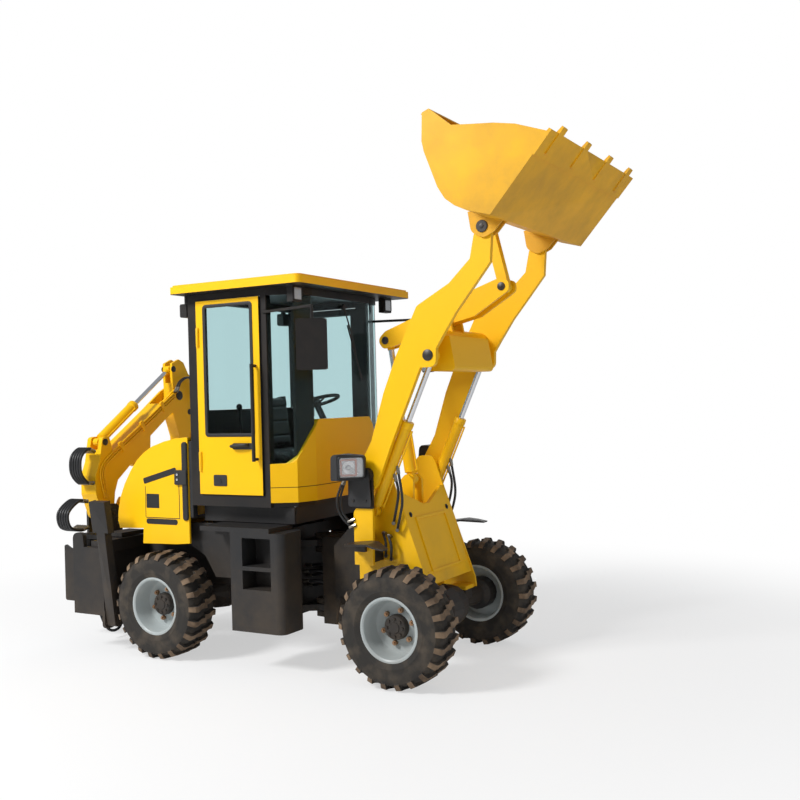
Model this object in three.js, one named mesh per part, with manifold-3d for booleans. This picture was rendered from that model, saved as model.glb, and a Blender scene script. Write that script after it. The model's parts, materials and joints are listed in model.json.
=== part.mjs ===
// Articulated backhoe loader. Millimetres, +Z up, +X towards the loader bucket, +Y to the machine's left.
// Every piece is drawn in the machine's own frame, whose X starts at the rear axle; the last group
// slides the whole machine back so that the middle of its box stands on the origin.

import * as THREE from 'three';
import { mergeVertices } from 'three/addons/utils/BufferGeometryUtils.js';
import Module from 'manifold-3d';

const wasm = await Module();
wasm.setup();

// ---------------------------------------------------------------- driving dimensions

const CENTRE_SHIFT = -1100;       // from the rear axle to the middle of the whole machine's box
const WHEELBASE = 2133;
const TRACK_HALF = 710;
const TYRE_RADIUS = 420;
const TYRE_HALF_WIDTH = 152.5;
const RIM_RADIUS = 228;
const RIM_BORE = 200;
const BEAD_RADIUS = 212;
const HINGE_X = 1066;             // articulation pin, halfway between the axles
const GAP = 5;                    // clear air beside a moving piece

const CAB_REAR = 300;
const CAB_SIDE = 700;
const CAB_FLOOR = 1210;
const CAB_TOP = 2855;
const CAB_CORNER_X = 1060;        // where the side ends and the bowed front begins
const CAB_FRONT = 1290;
const ROOF_TOP = 2925;
const DOOR_REAR = 396;
const DOOR_FRONT = 1004;
const DOOR_BOTTOM = 1302;
const DOOR_TOP = 2796;
const DOOR_THICK = 30;

const ARM_PIVOT = [1800, 1450];   // X and Z of the loader arms' lower pins
const BUCKET_PIN = [2773, 3153];
const LIFT_BASE = [1800, 1180];
const LIFT_EYE = [2320, 2300];
const TILT_BASE = [1880, 1380];
const ROCKER_REAR = [1720, 2450];
const ROCKER_PIVOT = [2210, 2600];
const ROCKER_FRONT = [2700, 2790];
const LINK_PIN = [2580, 3280];
const ARM_IN = 475;
const ARM_OUT = 515;
const LIFT_Y = 428;
const BUCKET_HALF = 861;

const SWING_AXIS = [-1100, -450]; // X and Y of the backhoe's kingpin
const BOOM_FOOT = [-290, 1055];   // Y and Z, as all the backhoe's pins are
const BOOM_TIP = [640, 2090];
const BOOM_CYL_BASE = [-310, 810];
const BOOM_CYL_EYE = [200, 1490];
const DIPPER_CYL_BASE = [-330, 1690];
const DIPPER_CYL_EYE = [600, 2345];
const DIG_PIN = [755, 1170];
const GUIDE_PIN = [738, 1369];
const PUSH_PIN = [893, 1268];
const DIG_LINK_PIN = [851, 1055];
const DIG_CYL_BASE = [815, 1930];
const LEG_PIVOT = [780, 250];     // distance from the centre line, and Z
const LEG_X = -490;

// ---------------------------------------------------------------- finishes

const finish = (colour, roughness, metalness) =>
  new THREE.MeshStandardMaterial({ color: colour, roughness, metalness, side: THREE.FrontSide });
const yellow = () => finish(0xf5c400, 0.4, 0.1);
const black = () => finish(0x242526, 0.5, 0.1);
const darkGrey = () => finish(0x3c3d3f, 0.55, 0.2);
const rubber = () => finish(0x2c2a28, 0.9, 0);
const rimWhite = () => finish(0xc4cccc, 0.45, 0.2);
const steel = () => finish(0xb8bcc0, 0.2, 1);
const glass = () => finish(0x9fc0c2, 0.05, 0);
const trim = () => finish(0x1c1c1d, 0.75, 0);

// ---------------------------------------------------------------- solids

function toSolid(geometry) {
  const bare = geometry.index ? geometry.clone() : geometry.clone();
  bare.deleteAttribute('normal');
  bare.deleteAttribute('uv');
  const welded = mergeVertices(bare, 1e-3);
  const index = welded.index.array;
  const kept = [];
  for (let i = 0; i < index.length; i += 3) {
    const [a, b, c] = [index[i], index[i + 1], index[i + 2]];
    if (a !== b && b !== c && c !== a) kept.push(a, b, c);
  }
  return new wasm.Manifold(new wasm.Mesh({
    numProp: 3,
    vertProperties: new Float32Array(welded.attributes.position.array),
    triVerts: new Uint32Array(kept),
  }));
}

function toGeometry(solid) {
  const mesh = solid.getMesh();
  const geometry = new THREE.BufferGeometry();
  geometry.setAttribute('position', new THREE.BufferAttribute(new Float32Array(mesh.vertProperties), 3));
  geometry.setIndex(new THREE.BufferAttribute(new Uint32Array(mesh.triVerts), 1));
  geometry.computeVertexNormals();
  return geometry;
}

const join = (...solids) => solids.flat().reduce((whole, next) => whole.add(next));
const cut = (solid, ...tools) => tools.flat().reduce((whole, next) => whole.subtract(next), solid);

function box(x0, x1, y0, y1, z0, z1) {
  const geometry = new THREE.BoxGeometry(x1 - x0, y1 - y0, z1 - z0);
  geometry.translate((x0 + x1) / 2, (y0 + y1) / 2, (z0 + z1) / 2);
  return toSolid(geometry);
}

// A closed outline; a point with a third value is rounded to that radius.
function outline(points) {
  const shape = new THREE.Shape();
  const count = points.length;
  points.forEach((point, i) => {
    const radius = point[2] ?? 0;
    const here = new THREE.Vector2(point[0], point[1]);
    if (radius === 0) {
      if (i === 0) shape.moveTo(here.x, here.y);
      else shape.lineTo(here.x, here.y);
      return;
    }
    const before = new THREE.Vector2(...points[(i + count - 1) % count]);
    const after = new THREE.Vector2(...points[(i + 1) % count]);
    const back = before.sub(here).normalize();
    const ahead = after.sub(here).normalize();
    const half = Math.acos(THREE.MathUtils.clamp(back.dot(ahead), -1, 1)) / 2;
    const reach = radius / Math.tan(half);
    const start = here.clone().addScaledVector(back, reach);
    const end = here.clone().addScaledVector(ahead, reach);
    const middle = here.clone().addScaledVector(back.clone().add(ahead).normalize(), radius / Math.sin(half));
    const from = Math.atan2(start.y - middle.y, start.x - middle.x);
    const to = Math.atan2(end.y - middle.y, end.x - middle.x);
    const clockwise = back.cross(ahead) > 0;
    if (i === 0) shape.moveTo(start.x, start.y);
    else shape.lineTo(start.x, start.y);
    shape.absarc(middle.x, middle.y, radius, from, to, clockwise);
  });
  shape.closePath();
  return shape;
}

function extruded(points, depth, steps) {
  return new THREE.ExtrudeGeometry(outline(points), { depth, bevelEnabled: false, curveSegments: steps });
}

// An X-Z outline between two values of Y.
function plateY(points, y0, y1, steps = 3) {
  const geometry = extruded(points, y1 - y0, steps);
  geometry.rotateX(Math.PI / 2);
  geometry.translate(0, y1, 0);
  return toSolid(geometry);
}

// A Y-Z outline between two values of X.
function plateX(points, x0, x1, steps = 3) {
  const geometry = extruded(points, x1 - x0, steps);
  geometry.applyMatrix4(new THREE.Matrix4().makeBasis(
    new THREE.Vector3(0, 1, 0), new THREE.Vector3(0, 0, 1), new THREE.Vector3(1, 0, 0)));
  geometry.translate(x0, 0, 0);
  return toSolid(geometry);
}

// An X-Y outline between two values of Z.
function plateZ(points, z0, z1, steps = 3) {
  const geometry = extruded(points, z1 - z0, steps);
  geometry.translate(0, 0, z0);
  return toSolid(geometry);
}

// A round bar from one point to another.
function bar(from, to, radius, sides = 12) {
  const start = new THREE.Vector3(...from);
  const way = new THREE.Vector3(...to).sub(start);
  const geometry = new THREE.CylinderGeometry(radius, radius, way.length(), sides);
  geometry.translate(0, way.length() / 2, 0);
  geometry.applyQuaternion(new THREE.Quaternion().setFromUnitVectors(
    new THREE.Vector3(0, 1, 0), way.normalize()));
  geometry.translate(start.x, start.y, start.z);
  return toSolid(geometry);
}

const pinY = ([x, z], y0, y1, radius, sides) => bar([x, y0, z], [x, y1, z], radius, sides);
const pinX = ([y, z], x0, x1, radius, sides) => bar([x0, y, z], [x1, y, z], radius, sides);

// A profile of [radius, height] turned about a vertical axis.
function turned(profile, sides = 24) {
  return toSolid(new THREE.LatheGeometry(profile.map(([r, z]) => new THREE.Vector2(r, z)), sides)
    .rotateX(Math.PI / 2));
}

function mirrorY(solid) {
  return solid.mirror([0, 1, 0]);
}

const both = (solid) => [solid, mirrorY(solid)];

// ---------------------------------------------------------------- the assembly

const machine = new THREE.Group();

function add(name, solid, material) {
  const mesh = new THREE.Mesh(toGeometry(solid), material);
  mesh.name = name;
  machine.add(mesh);
  return mesh;
}

function addPair(name, solid, makeMaterial) {
  add(`${name}_left`, solid, makeMaterial());
  add(`${name}_right`, mirrorY(solid), makeMaterial());
}

// A hydraulic cylinder between two pins that lie in one plane: a blind barrel with an eye at its foot,
// and a rod with an eye at its head. 'across' is the unit vector along both pins.
function addRam(name, foot, head, across, sizes) {
  const { barrel, rod, length, eye, width, engaged } = sizes;
  const base = new THREE.Vector3(...foot);
  const way = new THREE.Vector3(...head).sub(base);
  const reach = way.length();
  const bore = rod + 1.5;
  const neck = Math.min(barrel * 0.8, width / 2 - 3);
  const blind = eye + 22;
  const cylinder = turned([
    [0, 0], [neck, 0], [neck, eye + 5], [barrel, eye + 10], [barrel, length], [bore, length], [bore, blind], [0, blind],
  ], 12);
  const shaft = turned([[0, length - engaged], [rod, length - engaged], [rod, reach], [0, reach]], 10);
  const crossBar = (z) => bar([0, -width / 2, z], [0, width / 2, z], eye, 12);
  const turn = new THREE.Matrix4().makeBasis(
    new THREE.Vector3(...across).cross(way.clone().normalize()),
    new THREE.Vector3(...across), way.clone().normalize());
  const pieces = [
    [`${name}_barrel`, join(cylinder, crossBar(0)), yellow()],
    [`${name}_rod`, join(shaft, crossBar(reach)), steel()],
  ];
  for (const [pieceName, solid, material] of pieces) {
    const mesh = new THREE.Mesh(toGeometry(solid), material);
    mesh.name = pieceName;
    mesh.quaternion.setFromRotationMatrix(turn);
    mesh.position.copy(base);
    machine.add(mesh);
  }
}

// ---------------------------------------------------------------- wheels and axles

const tyreSolid = turned([
  [BEAD_RADIUS, -120], [230, -120], [240, -140], [330, -TYRE_HALF_WIDTH], [385, -146],
  [TYRE_RADIUS, -112], [TYRE_RADIUS, 112], [385, 146],
  [330, TYRE_HALF_WIDTH], [240, 140], [230, 120], [BEAD_RADIUS, 120], [BEAD_RADIUS, -120],
], 32);

const rimSolid = turned([
  [0, -20], [RIM_BORE - 3, -20], [RIM_BORE, -133], [RIM_RADIUS, -133], [RIM_RADIUS, -121],
  [BEAD_RADIUS - 0.5, -121], [BEAD_RADIUS - 0.5, 121], [RIM_RADIUS, 121], [RIM_RADIUS, 133],
  [RIM_BORE, 133], [RIM_BORE - 6, 0], [100, 0], [85, 58], [0, 58],
], 32);

function addWheel(place, x, side) {
  for (const [part, solid, material] of [['tyre', tyreSolid, rubber()], ['rim', rimSolid, rimWhite()]]) {
    const mesh = new THREE.Mesh(toGeometry(solid), material);
    mesh.name = `${part}_${place}`;
    mesh.rotation.x = side > 0 ? -Math.PI / 2 : Math.PI / 2;
    mesh.position.set(x, side * TRACK_HALF, TYRE_RADIUS);
    machine.add(mesh);
  }
}

addWheel('rear_left', 0, 1);
addWheel('rear_right', 0, -1);
addWheel('front_left', WHEELBASE, 1);
addWheel('front_right', WHEELBASE, -1);

// A rigid axle: differential in the middle, tapered arms, and a reduction hub inside each rim.
const AXLE_END = TRACK_HALF - 20 - GAP;
const axleSolid = join(
  turned([
    [0, -AXLE_END], [125, -AXLE_END], [125, -560], [80, -535], [60, -300], [70, -190], [150, -120],
    [165, 0], [150, 120], [70, 190], [60, 300], [80, 535], [125, 560], [125, AXLE_END], [0, AXLE_END],
  ], 16).rotate([90, 0, 0]),
  both(box(-75, 75, 215, 330, 20, 92)));

function addAxle(name, x) {
  const mesh = add(name, axleSolid, darkGrey());
  mesh.position.set(x, 0, TYRE_RADIUS);
}

addAxle('rear_axle', 0);
addAxle('front_axle', WHEELBASE);

// ---------------------------------------------------------------- rear frame

const RAIL_IN = 255;
const RAIL_OUT = 280;
const FRAME_REAR = -567.7;
const BULKHEAD_X = 920;
const TONGUES = [[322, 372], [838, 888]];   // the lower and upper hinge tongues
const PIN_HOLE = 37;
const STEER_Y = 170;
const STEER_LUGS = [[555, 571], [629, 645]];

function rearFrame() {
  const rails = both(plateY([
    [FRAME_REAR, 515], [BULKHEAD_X - 20, 515], [BULKHEAD_X, 300], [BULKHEAD_X, 1000],
    [300, 1000], [200, 900], [FRAME_REAR, 900],
  ], RAIL_IN, RAIL_OUT));
  const bulkhead = box(BULKHEAD_X - 20, BULKHEAD_X, -RAIL_OUT, RAIL_OUT, 300, 1000);
  const rearPlate = box(FRAME_REAR, FRAME_REAR + 20, -RAIL_OUT, RAIL_OUT, 300, 900);
  const belly = box(FRAME_REAR, -180, -RAIL_OUT, RAIL_OUT, 480, 500);
  const skirts = both(box(FRAME_REAR, -180, RAIL_IN, RAIL_OUT, 480, 520));
  const outriggers = [450, 840].map((x) => box(x, x + 60, -499, 499, 905, 985));
  const tanksTie = box(840, 900, -499, 499, 520, 570);
  const tongues = TONGUES.map(([low, high]) => plateZ([
    [BULKHEAD_X - 5, -170], [HINGE_X - 20, -85], [HINGE_X + 55, -75, 40], [HINGE_X + 85, 0, 40],
    [HINGE_X + 55, 75, 40], [HINGE_X - 20, 85], [BULKHEAD_X - 5, 170],
  ], low, high));
  const feet = both(box(-75, 75, RAIL_IN - 25, RAIL_OUT + 25, 513, 540));
  const cabFeet = [330, 820].flatMap((x) => both(box(x, x + 80, 240, 499, 940, CAB_FLOOR - 1)));
  const steerLugs = STEER_LUGS.map(([low, high]) => box(BULKHEAD_X - 5, 985, STEER_Y - 30, STEER_Y + 30, low, high));
  const solid = join(rails, bulkhead, rearPlate, belly, skirts, outriggers, tanksTie, tongues, feet, cabFeet,
    steerLugs);
  return cut(solid, TONGUES.map(([low, high]) => bar([HINGE_X, 0, low - 10], [HINGE_X, 0, high + 10], PIN_HOLE)));
}

add('rear_frame', rearFrame(), darkGrey());
add('engine_block', box(-430, 190, -225, 225, 600, 985), darkGrey());

// One hood covers the engine from wheel to wheel: hollow, open below, hinged at its top front edge.
const HOOD_SIDE = 695;
const HOOD_SKIN = 20;
const HOOD_OUTLINE = [
  [255, 905], [255, 1742], [140, 1735], [10, 1710], [-120, 1670], [-210, 1620], [-290, 1555], [-360, 1470],
  [-430, 1360], [-480, 1250], [-505, 1140], [-510, 1060], [-490, 1000], [-230, 1008], [-238, 885], [120, 893],
];
const HOOD_HOLLOW = [
  [300, 850], [300, 1722], [140, 1714], [16, 1690], [-112, 1651], [-200, 1602], [-277, 1540], [-344, 1458],
  [-412, 1351], [-461, 1245], [-485, 1138], [-489, 1060], [-480, 850],
];

function hood() {
  const shell = plateY(HOOD_OUTLINE.slice().reverse(), -HOOD_SIDE, HOOD_SIDE);
  const hollow = plateY(HOOD_HOLLOW.slice().reverse(), -HOOD_SIDE + HOOD_SKIN, HOOD_SIDE - HOOD_SKIN);
  return cut(shell, hollow);
}

add('engine_hood', hood(), yellow());

// Step tanks between the axles: a rounded box with two foot recesses cut into its outer side.
function stepTank() {
  const body = plateZ([[790, 500], [1150, 500], [1265, 610, 60], [1265, 858, 60], [790, 858]], 305, 1040);
  const treads = [[620, 760], [790, 1000]].map(([low, high]) => box(900, 1160, 690, 900, low, high));
  const ledge = box(500, 1150, 560, 858, 1040, 1075);
  const sidePlate = plateY([
    [430, 640], [700, 640], [700, 1060], [180, 1060], [180, 880], [330, 800],
  ], 565, 600);
  const joiner = box(500, 800, 565, 700, 990, 1060);
  return join(cut(body, treads), ledge, sidePlate, joiner);
}

addPair('step_tank', stepTank(), darkGrey);

// ---------------------------------------------------------------- cab

// Half of the cab's front in plan, from the corner post round to the middle, moved inwards by 'inset'.
function frontPlan(inset) {
  return [
    [CAB_CORNER_X, CAB_SIDE - inset], [CAB_FRONT - 50 - inset * 0.6, 600 - inset * 0.85],
    [CAB_FRONT - inset, 420 - inset * 0.35], [CAB_FRONT - inset, 0],
  ];
}

function bowedStrip(outer, inner, z0, z1) {
  const out = frontPlan(outer);
  const inside = frontPlan(inner).reverse();
  const half = plateZ([...out, ...inside].map(([x, y]) => [x, y]), z0, z1);
  return join(half, mirrorY(half));
}

const RING = 55;
const REAR_SILL = 1950;

function cabFrame() {
  const sideIn = CAB_SIDE - 60;
  const floor = plateZ([
    [CAB_REAR, -CAB_SIDE], [CAB_CORNER_X, -CAB_SIDE], [CAB_CORNER_X, -665], [1218, -568], [1256, -405],
    [1256, 405], [1218, 568], [CAB_CORNER_X, 665], [CAB_CORNER_X, CAB_SIDE], [CAB_REAR, CAB_SIDE],
  ], CAB_FLOOR, CAB_FLOOR + 30);
  const sills = both(box(CAB_REAR, CAB_CORNER_X, sideIn, CAB_SIDE, CAB_FLOOR, DOOR_BOTTOM - 6));
  const rearPosts = both(box(CAB_REAR, DOOR_REAR - 6, sideIn, CAB_SIDE, CAB_FLOOR, CAB_TOP));
  const frontPosts = both(box(DOOR_FRONT + 6, CAB_CORNER_X, sideIn, CAB_SIDE, CAB_FLOOR, CAB_TOP));
  const sideBeams = both(box(CAB_REAR, CAB_CORNER_X, sideIn, CAB_SIDE, CAB_TOP - RING, CAB_TOP));
  const rearBeam = box(CAB_REAR, CAB_REAR + 60, -CAB_SIDE, CAB_SIDE, CAB_TOP - RING, CAB_TOP);
  const header = bowedStrip(0, 60, CAB_TOP - RING, CAB_TOP);
  const rearPanel = box(CAB_REAR, CAB_REAR + 30, -CAB_SIDE, CAB_SIDE, CAB_FLOOR, REAR_SILL);
  const cornerPosts = bowedStrip(29, 90, CAB_FLOOR + 20, CAB_TOP - 20)
    .intersect(join(both(box(1205, 1300, 395, 625, CAB_FLOOR, CAB_TOP))));
  const mirrors = both(join(
    bar([1036, 703, 2675], [1585, 862, 2675], 11, 8),
    bar([1585, 862, 2682], [1585, 862, 2300], 11, 8),
    plateZ([[1490, 930], [1670, 800], [1684, 820], [1504, 950]], 2220, 2585).intersect(plateY(
      [[1488, 2218, 40], [1686, 2218, 40], [1686, 2587, 40], [1488, 2587, 40]], 780, 960))));
  const console = box(CAB_REAR, 520, -330, 330, CAB_FLOOR, 1500);
  const levers = both(bar([430, 200, 1480], [400, 215, 1960], 12, 8));
  return join(floor, sills, rearPosts, frontPosts, sideBeams, rearBeam, header, rearPanel, cornerPosts,
    mirrors, console, levers);
}

add('cab_frame', cabFrame(), black());

// The yellow bulkhead under the windshield rises to a hump in the middle.
const HUMP = [
  [-720, 1180], [720, 1180], [720, 1535], [620, 1540], [372, 1862], [-372, 1862], [-620, 1540], [-720, 1535],
];
const HUMP_GLASS = [
  [-686, 1540], [-621, 1541], [-373, 1863], [373, 1863], [621, 1541], [686, 1540],
  [686, CAB_TOP - RING - 2], [-686, CAB_TOP - RING - 2],
];

function frontCowl() {
  const skin = bowedStrip(0.5, 28, 1245, 1870);
  const shaped = skin.intersect(plateX(HUMP, 900, 1340));
  const dash = box(1150, 1270, -350, 350, 1700, 1860);
  return join(shaped, dash);
}

add('front_cowl', cut(frontCowl(), both(box(900, CAB_CORNER_X + 0.5, 600, 800, 1200, 1900))), yellow());

const windshieldSolid = bowedStrip(8, 15, 1500, CAB_TOP - RING - 1).intersect(plateX(HUMP_GLASS, 900, 1340));
add('windshield', windshieldSolid, glass());
add('rear_window', box(CAB_REAR + 10, CAB_REAR + 16, -CAB_SIDE + 61, CAB_SIDE - 61, REAR_SILL + 2, CAB_TOP - RING - 2), glass());

function roof() {
  const slab = plateZ([[215, -825, 45], [1455, -825, 45], [1455, 825, 45], [215, 825, 45]], CAB_TOP + 1, 2912);
  const crown = plateZ([[228, -812, 45], [1442, -812, 45], [1442, 812, 45], [228, 812, 45]], 2900, ROOF_TOP);
  const frontLamps = both(box(1270, 1325, 600, 720, 2735, CAB_TOP + 20));
  const rearLamps = both(join(
    box(222, 285, 585, 695, 2685, 2790), box(235, 260, 620, 660, 2780, CAB_TOP + 20)));
  return join(slab, crown, frontLamps, rearLamps);
}

add('cab_roof', roof(), yellow());

function doorFrame() {
  const leaf = box(DOOR_REAR, DOOR_FRONT, CAB_SIDE - 12, CAB_SIDE - 12 + DOOR_THICK, DOOR_BOTTOM, DOOR_TOP);
  const window = box(DOOR_REAR + 88, DOOR_FRONT - 78, 600, 800, 1765, DOOR_TOP - 52);
  const grab = join(
    bar([DOOR_FRONT - 38, CAB_SIDE + 70, 1560], [DOOR_FRONT - 38, CAB_SIDE + 70, 2290], 14, 8),
    bar([DOOR_FRONT - 38, CAB_SIDE, 1575], [DOOR_FRONT - 38, CAB_SIDE + 70, 1575], 12, 8),
    bar([DOOR_FRONT - 38, CAB_SIDE, 2275], [DOOR_FRONT - 38, CAB_SIDE + 70, 2275], 12, 8));
  return join(cut(leaf, window), grab);
}

// The leaf sits against the outside of the posts, so it swings without binding.
const doorSolid = doorFrame();
const doorCut = cut(doorSolid, box(0, DOOR_REAR + 1, 0, CAB_SIDE + 3, 1200, 2900));
addPair('door', doorCut, yellow);
addPair('door_glass', box(DOOR_REAR + 89, DOOR_FRONT - 79, CAB_SIDE, CAB_SIDE + 6, 1766, DOOR_TOP - 53), glass);

function seat() {
  const base = box(545, 900, -210, 210, CAB_FLOOR + 31, 1500);
  const cushion = box(530, 990, -235, 235, 1500, 1610);
  const back = plateY([[535, 1560], [650, 1560], [590, 2070, 40], [490, 2070, 40]], -225, 225);
  return join(base, cushion, back);
}

add('seat', cut(seat(), box(400, 545, -400, 400, 1100, 1505)), trim());

const WHEEL_X = 1010;

function steeringWheel() {
  const column = bar([1170, 0, 1682], [WHEEL_X + 2, 0, 1985], 28);
  const hub = bar([WHEEL_X + 8, 0, 1965], [WHEEL_X - 2, 0, 2002], 45);
  const spokes = [0, 120, 240].map((turn) => {
    const angle = THREE.MathUtils.degToRad(turn + 90);
    const rise = 42 * Math.cos(angle);
    return bar([WHEEL_X, 0, 1992], [WHEEL_X + 182 * Math.cos(angle), 188 * Math.sin(angle), 1992 + rise], 10, 6);
  });
  const tilt = Math.atan2(42, 150);
  const ring = toSolid(new THREE.TorusGeometry(188, 14, 8, 24).rotateY(-tilt).translate(WHEEL_X, 0, 1992));
  return join(column, hub, spokes, ring);
}

const steeringSolid = cut(steeringWheel(), box(1149.5, 1340, -355, 355, 1600, 1860.5));
add('steering_wheel', steeringSolid, trim());

// ---------------------------------------------------------------- front frame

const INNER = 360;
const OUTER = 520;
const FORKS = [[275, 315], [379, 419], [791, 831], [895, 935]];

function frontFrame() {
  const sideOutline = [
    [1180, 300], [1400, 300], [1450, 520], [2230, 520], [2220, 600], [1960, 1310], [1880, 1540, 60],
    [1730, 1540, 60], [1650, 1150], [1400, 900], [1180, 940],
  ];
  const inner = both(plateY(sideOutline.filter(([x]) => x >= 1400), INNER, INNER + 17));
  const backbone = both(plateY([[1230, 270], [1420, 270], [1480, 520], [1480, 940], [1230, 940]], 230, 255));
  const hingeBack = box(1210, 1232, -255, 255, 270, 940);
  const floor = box(1400, 1940, -377, 377, 520, 545);
  const ties = [box(1430, 1465, -377, 377, 520, 930), box(1230, 1480, -255, 255, 440, 460)];
  const steerLugs = STEER_LUGS.map(([low, high]) => box(1345, 1435, STEER_Y - 30, STEER_Y + 30, low, high));
  const steerWindow = box(1200, 1240, STEER_Y - 75, STEER_Y + 65, 550, 650);
  const cover = plateY([[2166, 640], [2194, 640], [1968, 1308], [1940, 1308]], -INNER - 5, INNER + 5);
  const notch = plateX([[-290, 1400], [-290, 1298], [-45, 1200, 20], [45, 1200, 20], [290, 1298], [290, 1400]], 1850, 2100);
  const uprights = both(plateY([
    [1690, 800], [1845, 800], [1852, 1190], [1852, 1505, 45], [1748, 1505, 45], [1742, 1225],
    [1690, 1200, 60],
  ], OUTER, OUTER + 25));
  const crossTube = both(join(
    box(1690, 1708, INNER, OUTER + 25, 800, 1120),
    box(1700, 1840, INNER, OUTER + 25, 820, 900),
    pinY(ARM_PIVOT, INNER, ARM_IN - GAP, 45), pinY(ARM_PIVOT, OUTER, OUTER + 45, 55),
    pinY(LIFT_BASE, INNER, LIFT_Y - 29, 34)));
  const tiltLugs = both(plateY([
    [1790, 1000], [1930, 1000], [1935, 1380, 40], [1880, 1436, 30], [1825, 1380, 40],
  ], 55, 80));
  const tiltShelf = box(1700, 2020, -365, 365, 1000, 1020);
  const forks = FORKS.map(([low, high]) => plateZ([
    [1215, -170], [1215, 170], [HINGE_X + 20, 80], [HINGE_X - 55, 70, 40], [HINGE_X - 80, 0, 40],
    [HINGE_X - 55, -70, 40], [HINGE_X + 20, -80],
  ].reverse(), low, high));
  const pins = [[275, 419], [791, 935]].map(([low, high]) => bar([HINGE_X, 0, low], [HINGE_X, 0, high], 35));
  const feet = both(box(WHEELBASE - 75, WHEELBASE + 75, 215, 377, 513, 540));
  const fenders = both(join(
    plateY([[1700, 950], [1960, 982], [2110, 960], [2114, 970], [1962, 996], [1697, 968]], OUTER + 40, 855)
      .intersect(plateZ([[1700, 540], [1830, 540], [2120, 790], [2120, 860], [2040, 860], [1700, 700]], 900, 1050)),
    box(1710, 1800, OUTER + 20, OUTER + 60, 900, 968)));
  const solid = join(inner, backbone, hingeBack, floor, ties, cut(cover, notch), uprights, crossTube,
    tiltLugs, tiltShelf, forks, pins, feet, fenders, steerLugs);
  return cut(solid, steerWindow);
}

add('front_frame', frontFrame(), yellow());

function headlight() {
  const bracket = plateY([[1665, 1225, 20], [1860, 1225, 20], [1840, 1500], [1670, 1500]], OUTER + 46, OUTER + 56);
  const housing = plateY([[1620, 1425, 20], [1815, 1425, 20], [1830, 1600, 30], [1640, 1615, 40]], OUTER + 55, OUTER + 235);
  const plan = plateZ([
    [1600, 560], [1840, 560], [1840, OUTER + 90], [1690, OUTER + 235], [1640, OUTER + 235], [1600, OUTER + 190],
  ], 1400, 1640);
  return join(bracket, housing.intersect(plan));
}

addPair('headlight', headlight(), trim);

// Steering cylinder on the left, from the rear bulkhead to the front frame's cross tie.
const STEER_FOOT = [960, STEER_Y, 600];
const STEER_HEAD = [1370, STEER_Y, 600];

// ---------------------------------------------------------------- loader

const ARM_OUTLINE = [
  [2698, 3100], [2665, 2945], [2500, 2790], [2240, 2650, 60], [2060, 2300], [1950, 2040], [1840, 1700],
  [1690, 1440, 60], [1740, 1340, 60], [1860, 1340, 60], [1910, 1450], [2020, 1710], [2170, 2030],
  [2255, 2215], [2380, 2215, 50], [2385, 2345], [2440, 2430], [2550, 2590], [2700, 2770], [2815, 2910],
  [2832, 3130], [2802, 3197, 30], [2738, 3197, 30],
];

function loaderArms() {
  const arms = both(plateY(ARM_OUTLINE, ARM_IN, ARM_OUT));
  const tube = pinY([2265, 2440], -ARM_IN - 5, ARM_IN + 5, 62, 16);
  const beam = plateY([[2215, 2440], [2225, 2190, 30], [2445, 2190, 30], [2400, 2440]], -330, 330);
  const horns = both(plateY([
    [2180, 2400], [2330, 2400], [2290, 2600, 50], [2230, 2672, 50], [2150, 2600, 50],
  ], 80, 105));
  const pins = both(join(pinY(LIFT_EYE, ARM_IN - 18, ARM_IN + 5, 34), pinY(BUCKET_PIN, ARM_OUT - 5, ARM_OUT + 1, 40)));
  return join(arms, tube, beam, horns, pins);
}

add('loader_arms', loaderArms(), yellow());

function tiltRocker() {
  const lever = both(plateY([
    [1650, 2455, 50], [1700, 2385, 40], [1790, 2400], [2200, 2525], [2480, 2590], [2760, 2760, 40],
    [2755, 2840, 40], [2660, 2845, 40], [2210, 2695], [1720, 2520, 60],
  ], 48, 73));
  const block = pinY(ROCKER_PIVOT, -60, 60, 70, 16);
  return join(lever, block);
}

add('tilt_rocker', tiltRocker(), yellow());

function tiltLink() {
  const along = new THREE.Vector2(LINK_PIN[0] - ROCKER_FRONT[0], LINK_PIN[1] - ROCKER_FRONT[1]).normalize();
  const side = new THREE.Vector2(-along.y, along.x).multiplyScalar(38);
  const corner = ([x, z], sign) => [x + sign * side.x, z + sign * side.y];
  const strap = plateY([corner(ROCKER_FRONT, 1), corner(ROCKER_FRONT, -1), corner(LINK_PIN, -1), corner(LINK_PIN, 1)]
    .reverse(), -32, 32);
  return join(strap, pinY(ROCKER_FRONT, -38, 38, 42, 12), pinY(LINK_PIN, -38, 38, 42, 12));
}

add('tilt_link', tiltLink(), yellow());

// Bucket: side plates, a shell that follows their outline from the top lip round to the cutting edge,
// a thicker cutting edge, four teeth, and the hinge brackets on its back.
const BUCKET_BACK = [[2508, 3890], [2500, 3700], [2515, 3630], [2608, 3385], [2660, 3302], [2730, 3248], [2820, 3205], [2980, 3160]];
const BUCKET_EDGE = [3395, 3630];

function shellAlong(points, thickness) {
  const inner = points.map((point, i) => {
    const before = points[Math.max(i - 1, 0)];
    const after = points[Math.min(i + 1, points.length - 1)];
    const along = new THREE.Vector2(after[0] - before[0], after[1] - before[1]).normalize();
    return [point[0] - along.y * thickness, point[1] + along.x * thickness];
  });
  return [...points, ...inner.reverse()];
}

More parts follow.
